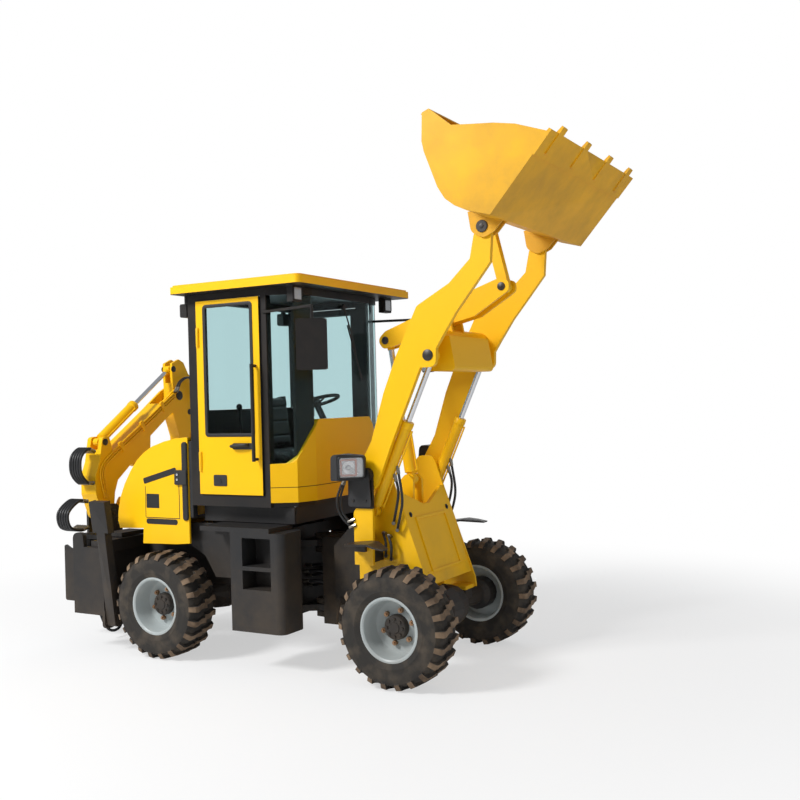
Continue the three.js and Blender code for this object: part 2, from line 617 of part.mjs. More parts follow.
function loaderBucket() {
  const shell = plateY(shellAlong([...BUCKET_BACK, BUCKET_EDGE], 16), -BUCKET_HALF, BUCKET_HALF);
  const side = plateY([
    ...BUCKET_BACK, BUCKET_EDGE, [3170, 3712], [3020, 3742], [2850, 3760], [2720, 3775], [2560, 3908],
  ], BUCKET_HALF - 20, BUCKET_HALF);
  const lip = plateY([[2500, 3880], [2560, 3908], [2566, 3896], [2512, 3866]], -BUCKET_HALF, BUCKET_HALF);
  const edge = plateY([[3290, 3498], [3412, 3638], [3396, 3652], [3262, 3520]], -BUCKET_HALF, BUCKET_HALF);
  const teeth = [-700, -235, 235, 700].map((y) => plateY([
    [3322, 3520], [3448, 3672], [3438, 3684], [3290, 3560],
  ], y - 38, y + 38));
  const ear = plateY([
    [2668, 3262], [2690, 3120, 60], [2780, 3072, 60], [2860, 3110, 40], [2930, 3185], [2740, 3265],
  ], 0, 14);
  const ears = [ARM_IN - 20, ARM_OUT + 6].flatMap((y) => both(ear.translate([0, y, 0])));
  const lugs = both(plateY([
    [2640, 3350], [2560, 3345, 40], [2530, 3260, 40], [2600, 3225, 40], [2690, 3285],
  ], 46, 66));
  return join(shell, both(side), lip, edge, teeth, ears, lugs);
}

add('loader_bucket', loaderBucket(), yellow());

const ACROSS_Y = [0, 1, 0];
const ACROSS_X = [1, 0, 0];
const ACROSS_Z = [0, 0, 1];
const inXZ = ([x, z], y) => [x, y, z];
const inYZ = ([y, z]) => [SWING_AXIS[0], y, z];

for (const [side, y] of [['left', LIFT_Y], ['right', -LIFT_Y]]) {
  addRam(`lift_cylinder_${side}`, inXZ(LIFT_BASE, y), inXZ(LIFT_EYE, y), ACROSS_Y,
    { barrel: 42, rod: 20, length: 720, eye: 40, width: 56, engaged: 60 });
}
addRam('tilt_cylinder', inXZ(TILT_BASE, 0), inXZ(ROCKER_REAR, 0), ACROSS_Y,
  { barrel: 45, rod: 22, length: 430, eye: 42, width: 70, engaged: 150 });
addRam('steering_cylinder', STEER_FOOT, STEER_HEAD, ACROSS_Z,
  { barrel: 28, rod: 14, length: 270, eye: 24, width: 50, engaged: 120 });

// ---------------------------------------------------------------- backhoe

const KX = SWING_AXIS[0];
const KY = SWING_AXIS[1];

// The transverse frame that the backhoe's carriage slides along, with the legs' brackets at its ends.
function sideShiftFrame() {
  const rails = [[300, 400], [800, 900]].map(([low, high]) => box(-700, -568, -815, 815, low, high));
  const web = box(-640, -600, -815, 815, 390, 810);
  const ends = both(plateY([
    [-545, 300], [-545, 850], [-760, 850], [-770, 965, 40], [-885, 965, 50], [-885, 300],
  ], 800, 840));
  const legPlates = both(plateX([
    [LEG_PIVOT[0] - 70, 340], [LEG_PIVOT[0] - 50, 190, 40], [LEG_PIVOT[0] + 60, 190, 40], [LEG_PIVOT[0] + 60, 340],
  ], -569, LEG_X - 50));
  return join(rails, web, ends, legPlates);
}

add('side_shift_frame', sideShiftFrame(), darkGrey());

function carriage() {
  const plate = box(-760, -706, KY - 130, KY + 130, 270, 940);
  const hooks = [box(-760, -590, KY - 130, KY + 130, 906, 940), box(-760, -700, KY - 130, KY + 130, 262, 294)];
  const jaws = [[278, 316], [862, 900]].map(([low, high]) => plateZ([
    [-750, KY - 125], [-750, KY + 125], [-880, KY + 76], [KX - 50, KY + 76, 40], [KX - 82, KY, 40],
    [KX - 50, KY - 76, 40], [-880, KY - 76],
  ].reverse(), low, high));
  return join(plate, hooks, jaws);
}

add('side_shift_carriage', carriage(), darkGrey());

function swingPost() {
  const drum = bar([KX, KY, 322], [KX, KY, 856], 70, 24);
  const cheeks = [[KX - 125, KX - 100], [KX + 100, KX + 125]].map(([x0, x1]) => plateX([
    [KY + 85, 325], [KY + 190, 325, 40], [KY + 262, 800, 60], [KY + 270, 960], [KY + 380, 965],
    [KY + 462, 985, 50], [KY + 450, 1105, 50], [KY + 240, 1105], [KY + 200, 1150, 60], [KY + 85, 1130, 60],
  ], x0, x1));
  const web = box(KX - 110, KX + 110, KY + 80, KY + 98, 325, 858);
  const tie = box(KX - 110, KX + 110, KY + 50, KY + 98, 325, 700);
  const back = plateY([
    [KX - 190, 325, 20], [KX + 150, 325, 20], [KX + 150, 780, 20], [KX - 110, 780, 20], [KX - 190, 820, 20],
  ], KY - 116, KY - 100);
  const backTie = box(KX - 60, KX + 60, KY - 105, KY - 50, 330, 770);
  const foot = join(
    pinX(BOOM_CYL_BASE, KX - 110, KX - 44, 42), pinX(BOOM_CYL_BASE, KX + 44, KX + 110, 42));
  return join(drum, cheeks, web, tie, back, backTie, foot);
}

add('swing_post', swingPost(), darkGrey());

const BOOM_HALF = 90;

function boom() {
  const outer = plateX([
    [-380, 1040, 50], [-300, 970, 60], [-245, 1010, 30], [-243, 1110], [-228, 1240], [-188, 1345],
    [-30, 1470], [110, 1505], [150, 1440, 30], [245, 1440, 30], [230, 1600], [235, 1720], [490, 1900],
    [710, 2010, 40], [720, 2120, 50], [650, 2180, 50], [550, 2130], [320, 1965], [-240, 1590],
    [-280, 1740, 30], [-360, 1730, 30], [-400, 1520], [-450, 1400], [-450, 1240],
  ], KX - BOOM_HALF, KX + BOOM_HALF);
  const slot = plateX([[380, 2160], [410, 1850], [690, 1900], [770, 2200]], KX - 66, KX + 66);
  const lugSlot = plateX([[110, 1535], [110, 1380], [350, 1380], [290, 1535]], KX - 42, KX + 42);
  const baseSlot = plateX([[-410, 1760], [-390, 1625], [-250, 1625], [-150, 1760]], KX - 46, KX + 46);
  return cut(outer, slot, lugSlot, baseSlot);
}

add('boom', boom(), yellow());

function dipper() {
  const arm = plateX([
    [585, 2400], [580, 2330], [590, 2150], [578, 2030], [585, 1905], [660, 1700], [705, 1165, 30],
    [755, 1118, 30], [805, 1165, 30], [800, 1420], [805, 1700], [880, 1880], [875, 1975, 30], [840, 2000],
    [880, 2150], [880, 2245], [810, 2300], [745, 2410], [680, 2440],
  ].reverse(), KX - 60, KX + 60);
  const headSlot = plateX([[520, 2480], [520, 2215], [700, 2215], [840, 2480]], KX - 32, KX + 32);
  const cylinderSlot = plateX([[758, 2080], [750, 1690], [960, 1690], [960, 2080]], KX - 34, KX + 34);
  return cut(arm, headSlot, cylinderSlot);
}

add('dipper', dipper(), yellow());

const GUIDE_CHEEKS = [[KX - 118, KX - 96], [KX + 96, KX + 118]];
const PUSH_CHEEKS = [[KX - 146, KX - 124], [KX + 124, KX + 146]];
const EAR_CHEEKS = [[KX - 90, KX - 66], [KX + 66, KX + 90]];

// A flat strap with round ends between two pins of the backhoe's plane.
function strap(from, to, half, x0, x1) {
  const along = new THREE.Vector2(to[0] - from[0], to[1] - from[1]).normalize();
  const side = new THREE.Vector2(-along.y, along.x).multiplyScalar(half * 0.8);
  const corner = ([y, z], sign) => [y + sign * side.x, z + sign * side.y];
  const middle = plateX([corner(from, 1), corner(from, -1), corner(to, -1), corner(to, 1)], x0, x1);
  return join(middle, pinX(from, x0, x1, half, 16), pinX(to, x0, x1, half, 16));
}

function guideLink() {
  const lobe = [PUSH_PIN[0] + 39, PUSH_PIN[1] + 13];
  const cheeks = GUIDE_CHEEKS.map(([x0, x1]) => join(
    strap(GUIDE_PIN, PUSH_PIN, 34, x0, x1), strap(PUSH_PIN, lobe, 18, x0, x1)));
  const pads = [pinX(PUSH_PIN, KX - 100, KX - 34, 24), pinX(PUSH_PIN, KX + 34, KX + 100, 24)];
  return join(cheeks, pads, pinX(lobe, KX - 100, KX + 100, 10));
}

function pushLink() {
  const middle = [(PUSH_PIN[0] + DIG_LINK_PIN[0]) / 2, (PUSH_PIN[1] + DIG_LINK_PIN[1]) / 2];
  const lobe = [middle[0] + 36, middle[1] - 8];
  const cheeks = PUSH_CHEEKS.map(([x0, x1]) => join(
    strap(PUSH_PIN, DIG_LINK_PIN, 32, x0, x1), strap(middle, lobe, 24, x0, x1)));
  const pads = [pinX(DIG_LINK_PIN, KX - 130, KX - 96, 26), pinX(DIG_LINK_PIN, KX + 96, KX + 130, 26)];
  return join(cheeks, pads, pinX(lobe, KX - 130, KX + 130, 13));
}

add('bucket_guide_link', guideLink(), yellow());
add('bucket_push_link', pushLink(), yellow());

const DIG_HALF = 200;

function diggingBucket() {
  const back = [
    [715, 1085], [805, 1010], [850, 930], [825, 850], [755, 795], [645, 770], [535, 790], [440, 860], [375, 985],
  ];
  const shell = plateX(shellAlong(back, -12).reverse(), KX - DIG_HALF, KX + DIG_HALF);
  const sides = [[KX - DIG_HALF, KX - DIG_HALF + 14], [KX + DIG_HALF - 14, KX + DIG_HALF]]
    .map(([x0, x1]) => plateX([...back].reverse(), x0, x1));
  const ears = EAR_CHEEKS.map(([x0, x1]) => plateX([
    [702, 1080], [715, 1180, 30], [755, 1218, 30], [800, 1180, 20], [885, 1085, 25], [890, 1030, 25],
    [845, 960], [815, 1000], [735, 1070],
  ].reverse(), x0, x1));
  return join(shell, sides, ears);
}

add('digging_bucket', diggingBucket(), darkGrey());

addRam('boom_cylinder', inYZ(BOOM_CYL_BASE), inYZ(BOOM_CYL_EYE), ACROSS_X,
  { barrel: 38, rod: 19, length: 440, eye: 36, width: 70, engaged: 40 });
addRam('dipper_cylinder', inYZ(DIPPER_CYL_BASE), inYZ(DIPPER_CYL_EYE), ACROSS_X,
  { barrel: 46, rod: 20, length: 560, eye: 34, width: 56, engaged: 60 });
addRam('bucket_cylinder', inYZ(DIG_CYL_BASE), inYZ(PUSH_PIN), ACROSS_X,
  { barrel: 30, rod: 15, length: 345, eye: 28, width: 56, engaged: 15 });

// Stabilizer legs, folded up: a channel that opens inwards, its pad turned up against its head.
function stabilizer() {
  const [y, z] = LEG_PIVOT;
  const leg = plateX([[y - 42, z - 30, 25], [y + 38, z - 40, 25], [y + 132, 985], [y + 58, 985]], LEG_X - 45, LEG_X + 45);
  const channel = plateX([[y - 70, z + 60], [y + 22, z + 60], [y + 102, 940], [y + 20, 940]], LEG_X - 35, LEG_X + 35);
  const pad = plateX([[y + 66, 985], [y + 132, 985], [y + 170, 1238], [y + 100, 1246]], LEG_X - 85, LEG_X + 85);
  const padHollow = plateX([[y + 50, 1010], [y + 120, 1004], [y + 150, 1228], [y + 80, 1260]], LEG_X - 75, LEG_X + 75);
  const knuckle = bar([LEG_X - 44, y + 98, 968], [LEG_X + 44, y + 98, 968], 26);
  return join(cut(leg, channel), cut(pad, padHollow), knuckle);
}

addPair('stabilizer', stabilizer(), darkGrey);

machine.position.x = CENTRE_SHIFT;

const group = new THREE.Group();
group.add(machine);

export default group;
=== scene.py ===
"""Compact centre-hinged backhoe loader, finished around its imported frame.

Metres, +X towards the loader bucket, +Y to the machine's left, +Z up, ground at z = 0.
"""

import json
import math

import bmesh
import bpy
import numpy as np
from mathutils import Matrix, Vector


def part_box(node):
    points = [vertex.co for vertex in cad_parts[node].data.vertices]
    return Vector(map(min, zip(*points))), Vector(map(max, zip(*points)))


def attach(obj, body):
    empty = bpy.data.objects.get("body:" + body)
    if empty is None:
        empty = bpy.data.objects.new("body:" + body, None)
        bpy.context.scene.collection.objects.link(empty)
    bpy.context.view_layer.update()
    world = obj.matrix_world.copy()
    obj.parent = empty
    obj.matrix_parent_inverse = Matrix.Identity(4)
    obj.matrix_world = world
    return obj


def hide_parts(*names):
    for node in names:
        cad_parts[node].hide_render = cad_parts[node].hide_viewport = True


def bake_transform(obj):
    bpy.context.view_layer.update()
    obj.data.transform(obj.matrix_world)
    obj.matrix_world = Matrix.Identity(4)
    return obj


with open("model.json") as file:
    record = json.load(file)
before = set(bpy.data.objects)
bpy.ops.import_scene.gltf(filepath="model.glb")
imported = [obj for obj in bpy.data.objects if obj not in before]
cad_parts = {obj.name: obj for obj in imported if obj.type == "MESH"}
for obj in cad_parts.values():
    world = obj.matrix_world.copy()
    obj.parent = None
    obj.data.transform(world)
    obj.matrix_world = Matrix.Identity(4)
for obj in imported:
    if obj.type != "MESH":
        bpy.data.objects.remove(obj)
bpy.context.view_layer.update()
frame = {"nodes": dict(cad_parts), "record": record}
scene = bpy.context.scene
nodes = frame["nodes"]
SIDES = (("left", 1), ("right", -1))

# ---------------------------------------------------------------- the camera
# A level camera at chest height off the right front corner, turned a little about its own axis. Its
# focal length is FOCAL_LENGTHS times the width of the sensor.

SENSOR = 36
FOCAL_LENGTHS = 1010.85 / 800

scene.view_settings.view_transform = "Standard"

heading = math.radians(29.563)
tilt = math.radians(-0.023)
roll = math.radians(-1.555)
ahead = Vector((
    -math.sin(heading) * math.cos(tilt), math.cos(heading) * math.cos(tilt), math.sin(tilt)))
level_right = Vector((math.cos(heading), math.sin(heading), 0))
level_up = level_right.cross(ahead)
right = math.cos(roll) * level_right + math.sin(roll) * level_up
upward = -math.sin(roll) * level_right + math.cos(roll) * level_up
lens = bpy.data.cameras.new("camera")
lens.sensor_width = SENSOR
lens.lens = SENSOR * FOCAL_LENGTHS
lens.clip_start, lens.clip_end = 0.1, 200
camera = bpy.data.objects.new("camera", lens)
camera.matrix_world = Matrix((
    (right.x, upward.x, -ahead.x, 4.541),
    (right.y, upward.y, -ahead.y, -6.780),
    (right.z, upward.z, -ahead.z, 1.993),
    (0, 0, 0, 1)))
scene.collection.objects.link(camera)
scene.camera = camera


# ---------------------------------------------------------------- the floor, the sky and the lamps
# A pale matt floor that keeps the machine's shadow and runs out into a white backdrop, under a plain
# sky, a soft key box from the right front and two weak ones.

FLOOR_HALF = 40.0
FLOOR_DROP = 0.001
NEAR_RADIUS, FAR_RADIUS = 2.5, 6.5
NEAR_LIFT = 0.55


def node(tree, kind, values=None):
    """A new shader node of the kind, with the given plain values on its inputs."""
    made = tree.nodes.new("ShaderNode" + kind)
    for name, value in (values or {}).items():
        made.inputs[name].default_value = value
    return made


def wire(tree, *pairs):
    """A link from the output to the input of each pair."""
    for source, target in pairs:
        tree.links.new(source, target)


floor_mesh = bpy.data.meshes.new("floor")
floor_mesh.from_pydata([
    (x * FLOOR_HALF, y * FLOOR_HALF, -FLOOR_DROP) for x, y in ((-1, -1), (1, -1), (1, 1), (-1, 1))],
    [], [(0, 1, 2, 3)])
floor = bpy.data.objects.new("floor", floor_mesh)
scene.collection.objects.link(floor)

floor_paint = bpy.data.materials.new("floor_paint")
floor_paint.use_nodes = True
tree = floor_paint.node_tree
tree.nodes.clear()
floor_out = node(tree, "OutputMaterial")
matt = node(tree, "BsdfDiffuse", {"Color": (0.88, 0.88, 0.88, 1)})
plain_white = node(tree, "Emission", {"Color": (1, 1, 1, 1), "Strength": 1.0})
spot = node(tree, "TexCoord")
reach = node(tree, "VectorMath")
reach.operation = "LENGTH"
fade = node(tree, "MapRange", {
    "From Min": NEAR_RADIUS, "From Max": FAR_RADIUS, "To Min": NEAR_LIFT, "To Max": 1.0})
fade.interpolation_type = "SMOOTHSTEP"
ray = node(tree, "LightPath")
lift = node(tree, "Math")
lift.operation = "MULTIPLY"
blend = node(tree, "MixShader")
wire(tree,
     (spot.outputs["Object"], reach.inputs[0]),
     (reach.outputs["Value"], fade.inputs["Value"]),
     (fade.outputs[0], lift.inputs[0]),
     (ray.outputs["Is Camera Ray"], lift.inputs[1]),
     (lift.outputs[0], blend.inputs["Fac"]),
     (matt.outputs[0], blend.inputs[1]),
     (plain_white.outputs[0], blend.inputs[2]),
     (blend.outputs[0], floor_out.inputs["Surface"]))
floor_mesh.materials.append(floor_paint)

sky = bpy.data.worlds.new("sky")
sky.use_nodes = True
scene.world = sky
sky_tree = sky.node_tree
sky_tree.nodes.clear()
sky_out = node(sky_tree, "OutputWorld")
sky_mix = node(sky_tree, "MixShader")
sky_light = node(sky_tree, "Background", {"Color": (0.93, 0.96, 1.0, 1), "Strength": 0.38})
sky_seen = node(sky_tree, "Background", {"Color": (1, 1, 1, 1), "Strength": 1.0})
ray = node(sky_tree, "LightPath")
seen = node(sky_tree, "Math")
seen.operation = "MAXIMUM"
wire(sky_tree,
     (ray.outputs["Is Camera Ray"], seen.inputs[0]),
     (ray.outputs["Is Transmission Ray"], seen.inputs[1]),
     (seen.outputs[0], sky_mix.inputs["Fac"]),
     (sky_light.outputs[0], sky_mix.inputs[1]),
     (sky_seen.outputs[0], sky_mix.inputs[2]),
     (sky_mix.outputs[0], sky_out.inputs["Surface"]))


def soft_box(name, place, aim, size, power):
    """A square soft box at place that faces aim."""
    light = bpy.data.lights.new(name, "AREA")
    light.shape = "SQUARE"
    light.size = size
    light.energy = power
    lamp = bpy.data.objects.new(name, light)
    lamp.location = place
    lamp.rotation_euler = (Vector(aim) - Vector(place)).to_track_quat("-Z", "Y").to_euler()
    scene.collection.objects.link(lamp)


soft_box("key_light", (-4.2, -8.0, 8.2), (0, 0, 1.4), 2.6, 1150)
soft_box("fill_light", (8.5, -3.0, 4.5), (0.5, 0, 1.6), 5.0, 50)
soft_box("back_light", (-4.0, 8.0, 6.0), (0, 0, 1.5), 5.0, 160)


# ---------------------------------------------------------------- the painted weldments
# Frames, arms, boom, cab and axles are cut plate and bent tube, welded, ground and sprayed before
# they are bolted together. Yellow on the working gear and panels, black on the chassis and the cab.
# The paint has faint orange peel, pales in cloudy patches, and gathers dust towards the ground.

YELLOW = (0.93, 0.515, 0.001)
BLACK = (0.020, 0.019, 0.019)
EARTH = (0.20, 0.135, 0.075)
PLATE_EDGE = 0.004


def principled(name, colour, roughness, metallic=0.0):
    """A material with one Principled shader whose plain values sit on its own sockets."""
    made = bpy.data.materials.new(name)
    made.use_nodes = True
    shader = made.node_tree.nodes["Principled BSDF"]
    shader.inputs["Base Color"].default_value = (*colour, 1)
    shader.inputs["Roughness"].default_value = roughness
    shader.inputs["Metallic"].default_value = metallic
    return made, made.node_tree, shader


def math_node(tree, operation, first, second):
    """The output of one Math node; each input is an output socket or a number."""
    made = node(tree, "Math")
    made.operation = operation
    for value, socket in ((first, made.inputs[0]), (second, made.inputs[1])):
        if isinstance(value, (int, float)):
            socket.default_value = value
        else:
            tree.links.new(value, socket)
    return made.outputs[0]


def colour_mix(tree, first, second):
    """A Mix node that goes from the first colour to the second."""
    made = tree.nodes.new("ShaderNodeMix")
    made.data_type = "RGBA"
    made.inputs["A"].default_value = (*first, 1)
    made.inputs["B"].default_value = (*second, 1)
    return made


def region(tree, place, groups):
    """1 where any group holds.

    A group is one or more tests, ("X" or "Z" or "side", ">" or "<", metres), that must all hold.
    """
    split = node(tree, "SeparateXYZ")
    tree.links.new(place, split.inputs[0])
    axes = {"X": split.outputs["X"], "Z": split.outputs["Z"],
            "side": math_node(tree, "ABSOLUTE", split.outputs["Y"], 0.0)}
    whole = None
    for group in groups:
        held = None
        for axis, sign, limit in group:
            test = math_node(tree, "GREATER_THAN" if sign == ">" else "LESS_THAN", axes[axis], limit)
            held = test if held is None else math_node(tree, "MULTIPLY", held, test)
        whole = held if whole is None else math_node(tree, "MAXIMUM", whole, held)
    return whole


def sprayed(name, colour, roughness=0.4, dust_height=0.9, most_dust=0.85, least_dust=0.03,
            second=None, where=()):
    """Paint under a dust layer: cloud noise times a fall-off with height, rougher where it is dusty.

    A second colour covers the regions given in where: black paint, and on two parts painted shade.
    """
    made, tree, shader = principled(name, colour, roughness)
    shader.inputs["Coat Weight"].default_value = 0.08
    shader.inputs["Coat Roughness"].default_value = 0.22
    shader.inputs["Specular IOR Level"].default_value = 0.25
    place = node(tree, "TexCoord").outputs["Object"]
    cloud = node(tree, "TexNoise", {"Scale": 2.6, "Detail": 7.0, "Roughness": 0.62})
    peel = node(tree, "TexNoise", {"Scale": 55.0, "Detail": 3.0})
    split = node(tree, "SeparateXYZ")
    low = node(tree, "MapRange", {
        "From Min": 0.0, "From Max": dust_height, "To Min": most_dust, "To Max": least_dust})
    patch = node(tree, "MapRange", {"From Min": 0.34, "From Max": 0.72})
    dusty = colour_mix(tree, colour, EARTH)
    rough = node(tree, "MapRange", {"To Min": roughness, "To Max": min(1.0, roughness + 0.45)})
    relief = node(tree, "Bump", {"Strength": 0.1, "Distance": 0.002})
    wire(tree, (place, cloud.inputs["Vector"]), (place, peel.inputs["Vector"]), (place, split.inputs[0]),
         (split.outputs["Z"], low.inputs["Value"]), (cloud.outputs["Fac"], patch.inputs["Value"]))
    amount = math_node(tree, "MULTIPLY", patch.outputs[0], low.outputs[0])
    if second:
        tone_and_shade = colour_mix(tree, colour, second)
        wire(tree, (region(tree, place, where), tone_and_shade.inputs["Factor"]),
             (tone_and_shade.outputs["Result"], dusty.inputs["A"]))
    wire(tree, (amount, dusty.inputs["Factor"]), (dusty.outputs["Result"], shader.inputs["Base Color"]),
         (amount, rough.inputs["Value"]), (rough.outputs[0], shader.inputs["Roughness"]),
         (peel.outputs["Fac"], relief.inputs["Height"]), (relief.outputs[0], shader.inputs["Normal"]))
    return made


def dress(packed, material, rounding=PLATE_EDGE):
    """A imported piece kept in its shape: facets merged, edges over 35 degrees rounded, one finish."""
    piece = nodes[packed]
    piece.data.materials.clear()
    piece.data.materials.append(material)
    weld = piece.modifiers.new("merge", "WELD")
    weld.merge_threshold = 0.00005
    if rounding:
        bevel = piece.modifiers.new("rounding", "BEVEL")
        bevel.width = rounding
        bevel.segments = 2
        bevel.limit_method = "ANGLE"
        bevel.angle_limit = math.radians(35)
    return piece


yellow_paint = sprayed("yellow_paint", YELLOW, 0.42)
dark_paint = sprayed(
    "dark_paint", (0.020, 0.020, 0.021), 0.5, dust_height=1.0, most_dust=0.40, least_dust=0.05)
cab_paint = sprayed("cab_paint", (0.012, 0.012, 0.013), 0.4, least_dust=0.08)
engine_iron = sprayed("engine_iron", (0.05, 0.05, 0.052), 0.6, dust_height=1.2)

for name in (
        "engine_hood", "tilt_rocker", "tilt_link", "boom", "dipper", "bucket_guide_link",
        "bucket_push_link"):
    dress(name, yellow_paint)
for name in (
        "rear_frame", "rear_axle", "front_axle", "step_tank_left", "step_tank_right",
        "side_shift_frame", "side_shift_carriage", "swing_post", "digging_bucket", "stabilizer_left",
        "stabilizer_right"):
    dress(name, dark_paint)
dress("cab_frame", cab_paint)
dress("engine_block", engine_iron, 0.012)
dress("loader_arms", yellow_paint, 0.005)
dress("loader_bucket", sprayed(
    "bucket_paint", (0.90, 0.46, 0.002), 0.45, dust_height=4.0, most_dust=0.9, least_dust=0.3))
# The cowl's thin dark brown band at z 1.36 is painted shade: a shadow line drawn across it.
dress("front_cowl", sprayed(
    "cowl_paint", YELLOW, 0.4, second=(0.12, 0.06, 0.0),
    where=((("Z", ">", 1.357), ("Z", "<", 1.363)),)), 0.010)
dress("cab_roof", sprayed(
    "roof_paint", YELLOW, 0.42, second=BLACK, where=((("Z", "<", 2.8575),),)), 0.008)
for name in ("door_left", "door_right"):
    dress(name, sprayed(
        name + "_paint", YELLOW, 0.4, second=BLACK,
        where=((("side", ">", 0.722),), (("side", "<", 0.7165),))))

# The centre hinge, the outer towers and the fenders of the front frame are black, the rest is yellow.
# The black between the inner and outer plates below z 1.21 is painted shade in the gap between them.
dress("front_frame", sprayed(
    "front_frame_paint", YELLOW, 0.42, dust_height=1.1, most_dust=0.95, second=BLACK, where=(
        (("X", "<", 0.525),),
        (("side", ">", 0.515), ("Z", ">", 1.21)),
        (("side", ">", 0.55), ("Z", "<", 1.0)),
        # Painted shade: black on the faces in the gap between the inner and outer plates.
        (("side", ">", 0.385), ("side", "<", 0.515), ("Z", "<", 1.21)))))
for name in ("steering_cylinder_barrel", "steering_cylinder_rod"):
    dress(name, dark_paint, 0.001)


# ---------------------------------------------------------------- the wheels
# Tubeless rubber tyres with twenty-two stepped lugs a side, moulded in one with the carcass, on pressed
# steel rims sprayed silver. Six plated studs hold each rim to the dark planetary hub of the axle.

TYRE_OUTER, CARCASS = 0.420, 0.394
LUGS, LUG_STEPS, LUG_WIDTH = 22, 13, 0.040


def grid_faces(rows, columns, close_rows=False):
    """Quads that join each point of a rows by columns grid to the next, closed round the columns."""
    r = np.arange(rows if close_rows else rows - 1)[:, None]
    c = np.arange(columns)[None, :]
    r_next, c_next = (r + 1) % rows, (c + 1) % columns
    corners = (r * columns + c, r * columns + c_next, r_next * columns + c_next, r_next * columns + c)
    return np.stack(np.broadcast_arrays(*corners), -1).reshape(-1, 4)


def unit(vector):
    """The vector scaled to length one."""
    vector = np.asarray(vector, float)
    return vector / np.linalg.norm(vector)


def square_to(axis):
    """Two unit vectors square to the axis and to each other."""
    helper = (0, 0, 1) if abs(unit(axis)[2]) < 0.9 else (1, 0, 0)
    first = unit(np.cross(axis, helper))
    return first, np.cross(unit(axis), first)


def turned(profile, centre, axis, sides=48, closed=False):
    """centre + r (cos a u + sin a v) + h axis, for each (r, h) of the profile and each angle a."""
    profile = np.asarray(profile, float)
    u, v = square_to(axis)
    angle = np.linspace(0, 2 * np.pi, sides, endpoint=False)[:, None]
    ring = np.cos(angle) * u + np.sin(angle) * v
    points = np.asarray(centre) + profile[:, 0, None, None] * ring + profile[:, 1, None, None] * unit(axis)
    return points.reshape(-1, 3), grid_faces(len(profile), sides, closed)


def skin(name, parts, materials, body, stands_for=(), sharp=38):
    """One mesh of (points, faces, finish) parts, smooth but crisp where it turns by more than sharp."""
    starts = np.cumsum([0] + [len(part[0]) for part in parts[:-1]])
    mesh = bpy.data.meshes.new(name)
    mesh.from_pydata(
        np.concatenate([part[0] for part in parts]).tolist(), [],
        np.concatenate([part[1] + start for part, start in zip(parts, starts)]).tolist())
    finishes = np.concatenate([
        np.broadcast_to(part[2] if len(part) > 2 else 0, len(part[1])) for part in parts]).astype(np.int32)
    mesh.polygons.foreach_set("material_index", finishes)
    for material in materials:
        mesh.materials.append(material)
    shape = bmesh.new()
    shape.from_mesh(mesh)
    bmesh.ops.remove_doubles(shape, verts=shape.verts, dist=1e-6)
    bmesh.ops.recalc_face_normals(shape, faces=shape.faces)
    shape.to_mesh(mesh)
    shape.free()
    mesh.shade_smooth()
    mesh.set_sharp_from_angle(angle=math.radians(sharp))
    piece = bpy.data.objects.new(name, mesh)
    scene.collection.objects.link(piece)
    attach(piece, body)
    if stands_for:
        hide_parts(*stands_for)
    return piece


def lug_row(centre, side):
    """Bars that step sideways half way, on the tread from its middle (t = 0) round the shoulder (t = 1).

    Height h and radius r are functions of t, the angle is the bar's own plus a tanh step of t, and the
    section is four corners, wider at the foot than at the crown.
    """
    t = np.linspace(0, 1, LUG_STEPS)
    over = np.clip((t - 0.72) / 0.28, 0, 1)
    crown_h = side * (-0.012 + 0.174 * t - 0.012 * over)
    crown_r = TYRE_OUTER - 0.0002 - 0.004 * t - 0.046 * over ** 1.6
    foot_h, foot_r = crown_h * 0.82, crown_r - 0.042
    own = 2 * np.pi * (np.arange(LUGS) + (0.5 if side > 0 else 0.0)) / LUGS
    bend = side * (0.034 * np.tanh((t - 0.42) * 9) - 0.05 * t)
    half = LUG_WIDTH / 2 / CARCASS
    corners = ((crown_h, crown_r, -half), (crown_h, crown_r, half), (foot_h, foot_r, 1.45 * half),
               (foot_h, foot_r, -1.45 * half))
    points = np.stack([np.stack([
        r * np.cos(own[:, None] + bend + shift) + centre[0],
        np.broadcast_to(h + centre[1], (LUGS, LUG_STEPS)),
        r * np.sin(own[:, None] + bend + shift) + centre[2]], -1) for h, r, shift in corners], 2)
    last = 4 * LUG_STEPS - 4
    one = np.concatenate([grid_faces(LUG_STEPS, 4), [[0, 1, 2, 3]], [[last, last + 1, last + 2, last + 3]]])
    crown = np.concatenate([np.tile([1, 0, 0, 0], LUG_STEPS - 1), [0, 0]])
    faces = one + (4 * LUG_STEPS * np.arange(LUGS))[:, None, None]
    return points.reshape(-1, 3), faces.reshape(-1, 4), np.tile(crown, LUGS)


def dusty_rubber(name, colour, dust, share):
    """Matt rubber with fine grain, paled to dust in cloudy patches over the given share of it."""
    made, tree, shader = principled(name, colour, 0.82)
    shader.inputs["Specular IOR Level"].default_value = 0.3
    place = node(tree, "TexCoord").outputs["Object"]
    cloud = node(tree, "TexNoise", {"Scale": 9.0, "Detail": 6.0})
    grain = node(tree, "TexNoise", {"Scale": 140.0})
    patch = node(tree, "MapRange", {"From Min": 0.68 - share * 0.5, "From Max": 0.95 - share * 0.5})
    mix = colour_mix(tree, colour, dust)
    relief = node(tree, "Bump", {"Strength": 0.25, "Distance": 0.002})
    wire(tree, (place, cloud.inputs["Vector"]), (place, grain.inputs["Vector"]),
         (cloud.outputs["Fac"], patch.inputs["Value"]), (patch.outputs[0], mix.inputs["Factor"]),
         (mix.outputs["Result"], shader.inputs["Base Color"]),
         (grain.outputs["Fac"], relief.inputs["Height"]), (relief.outputs[0], shader.inputs["Normal"]))
    return made


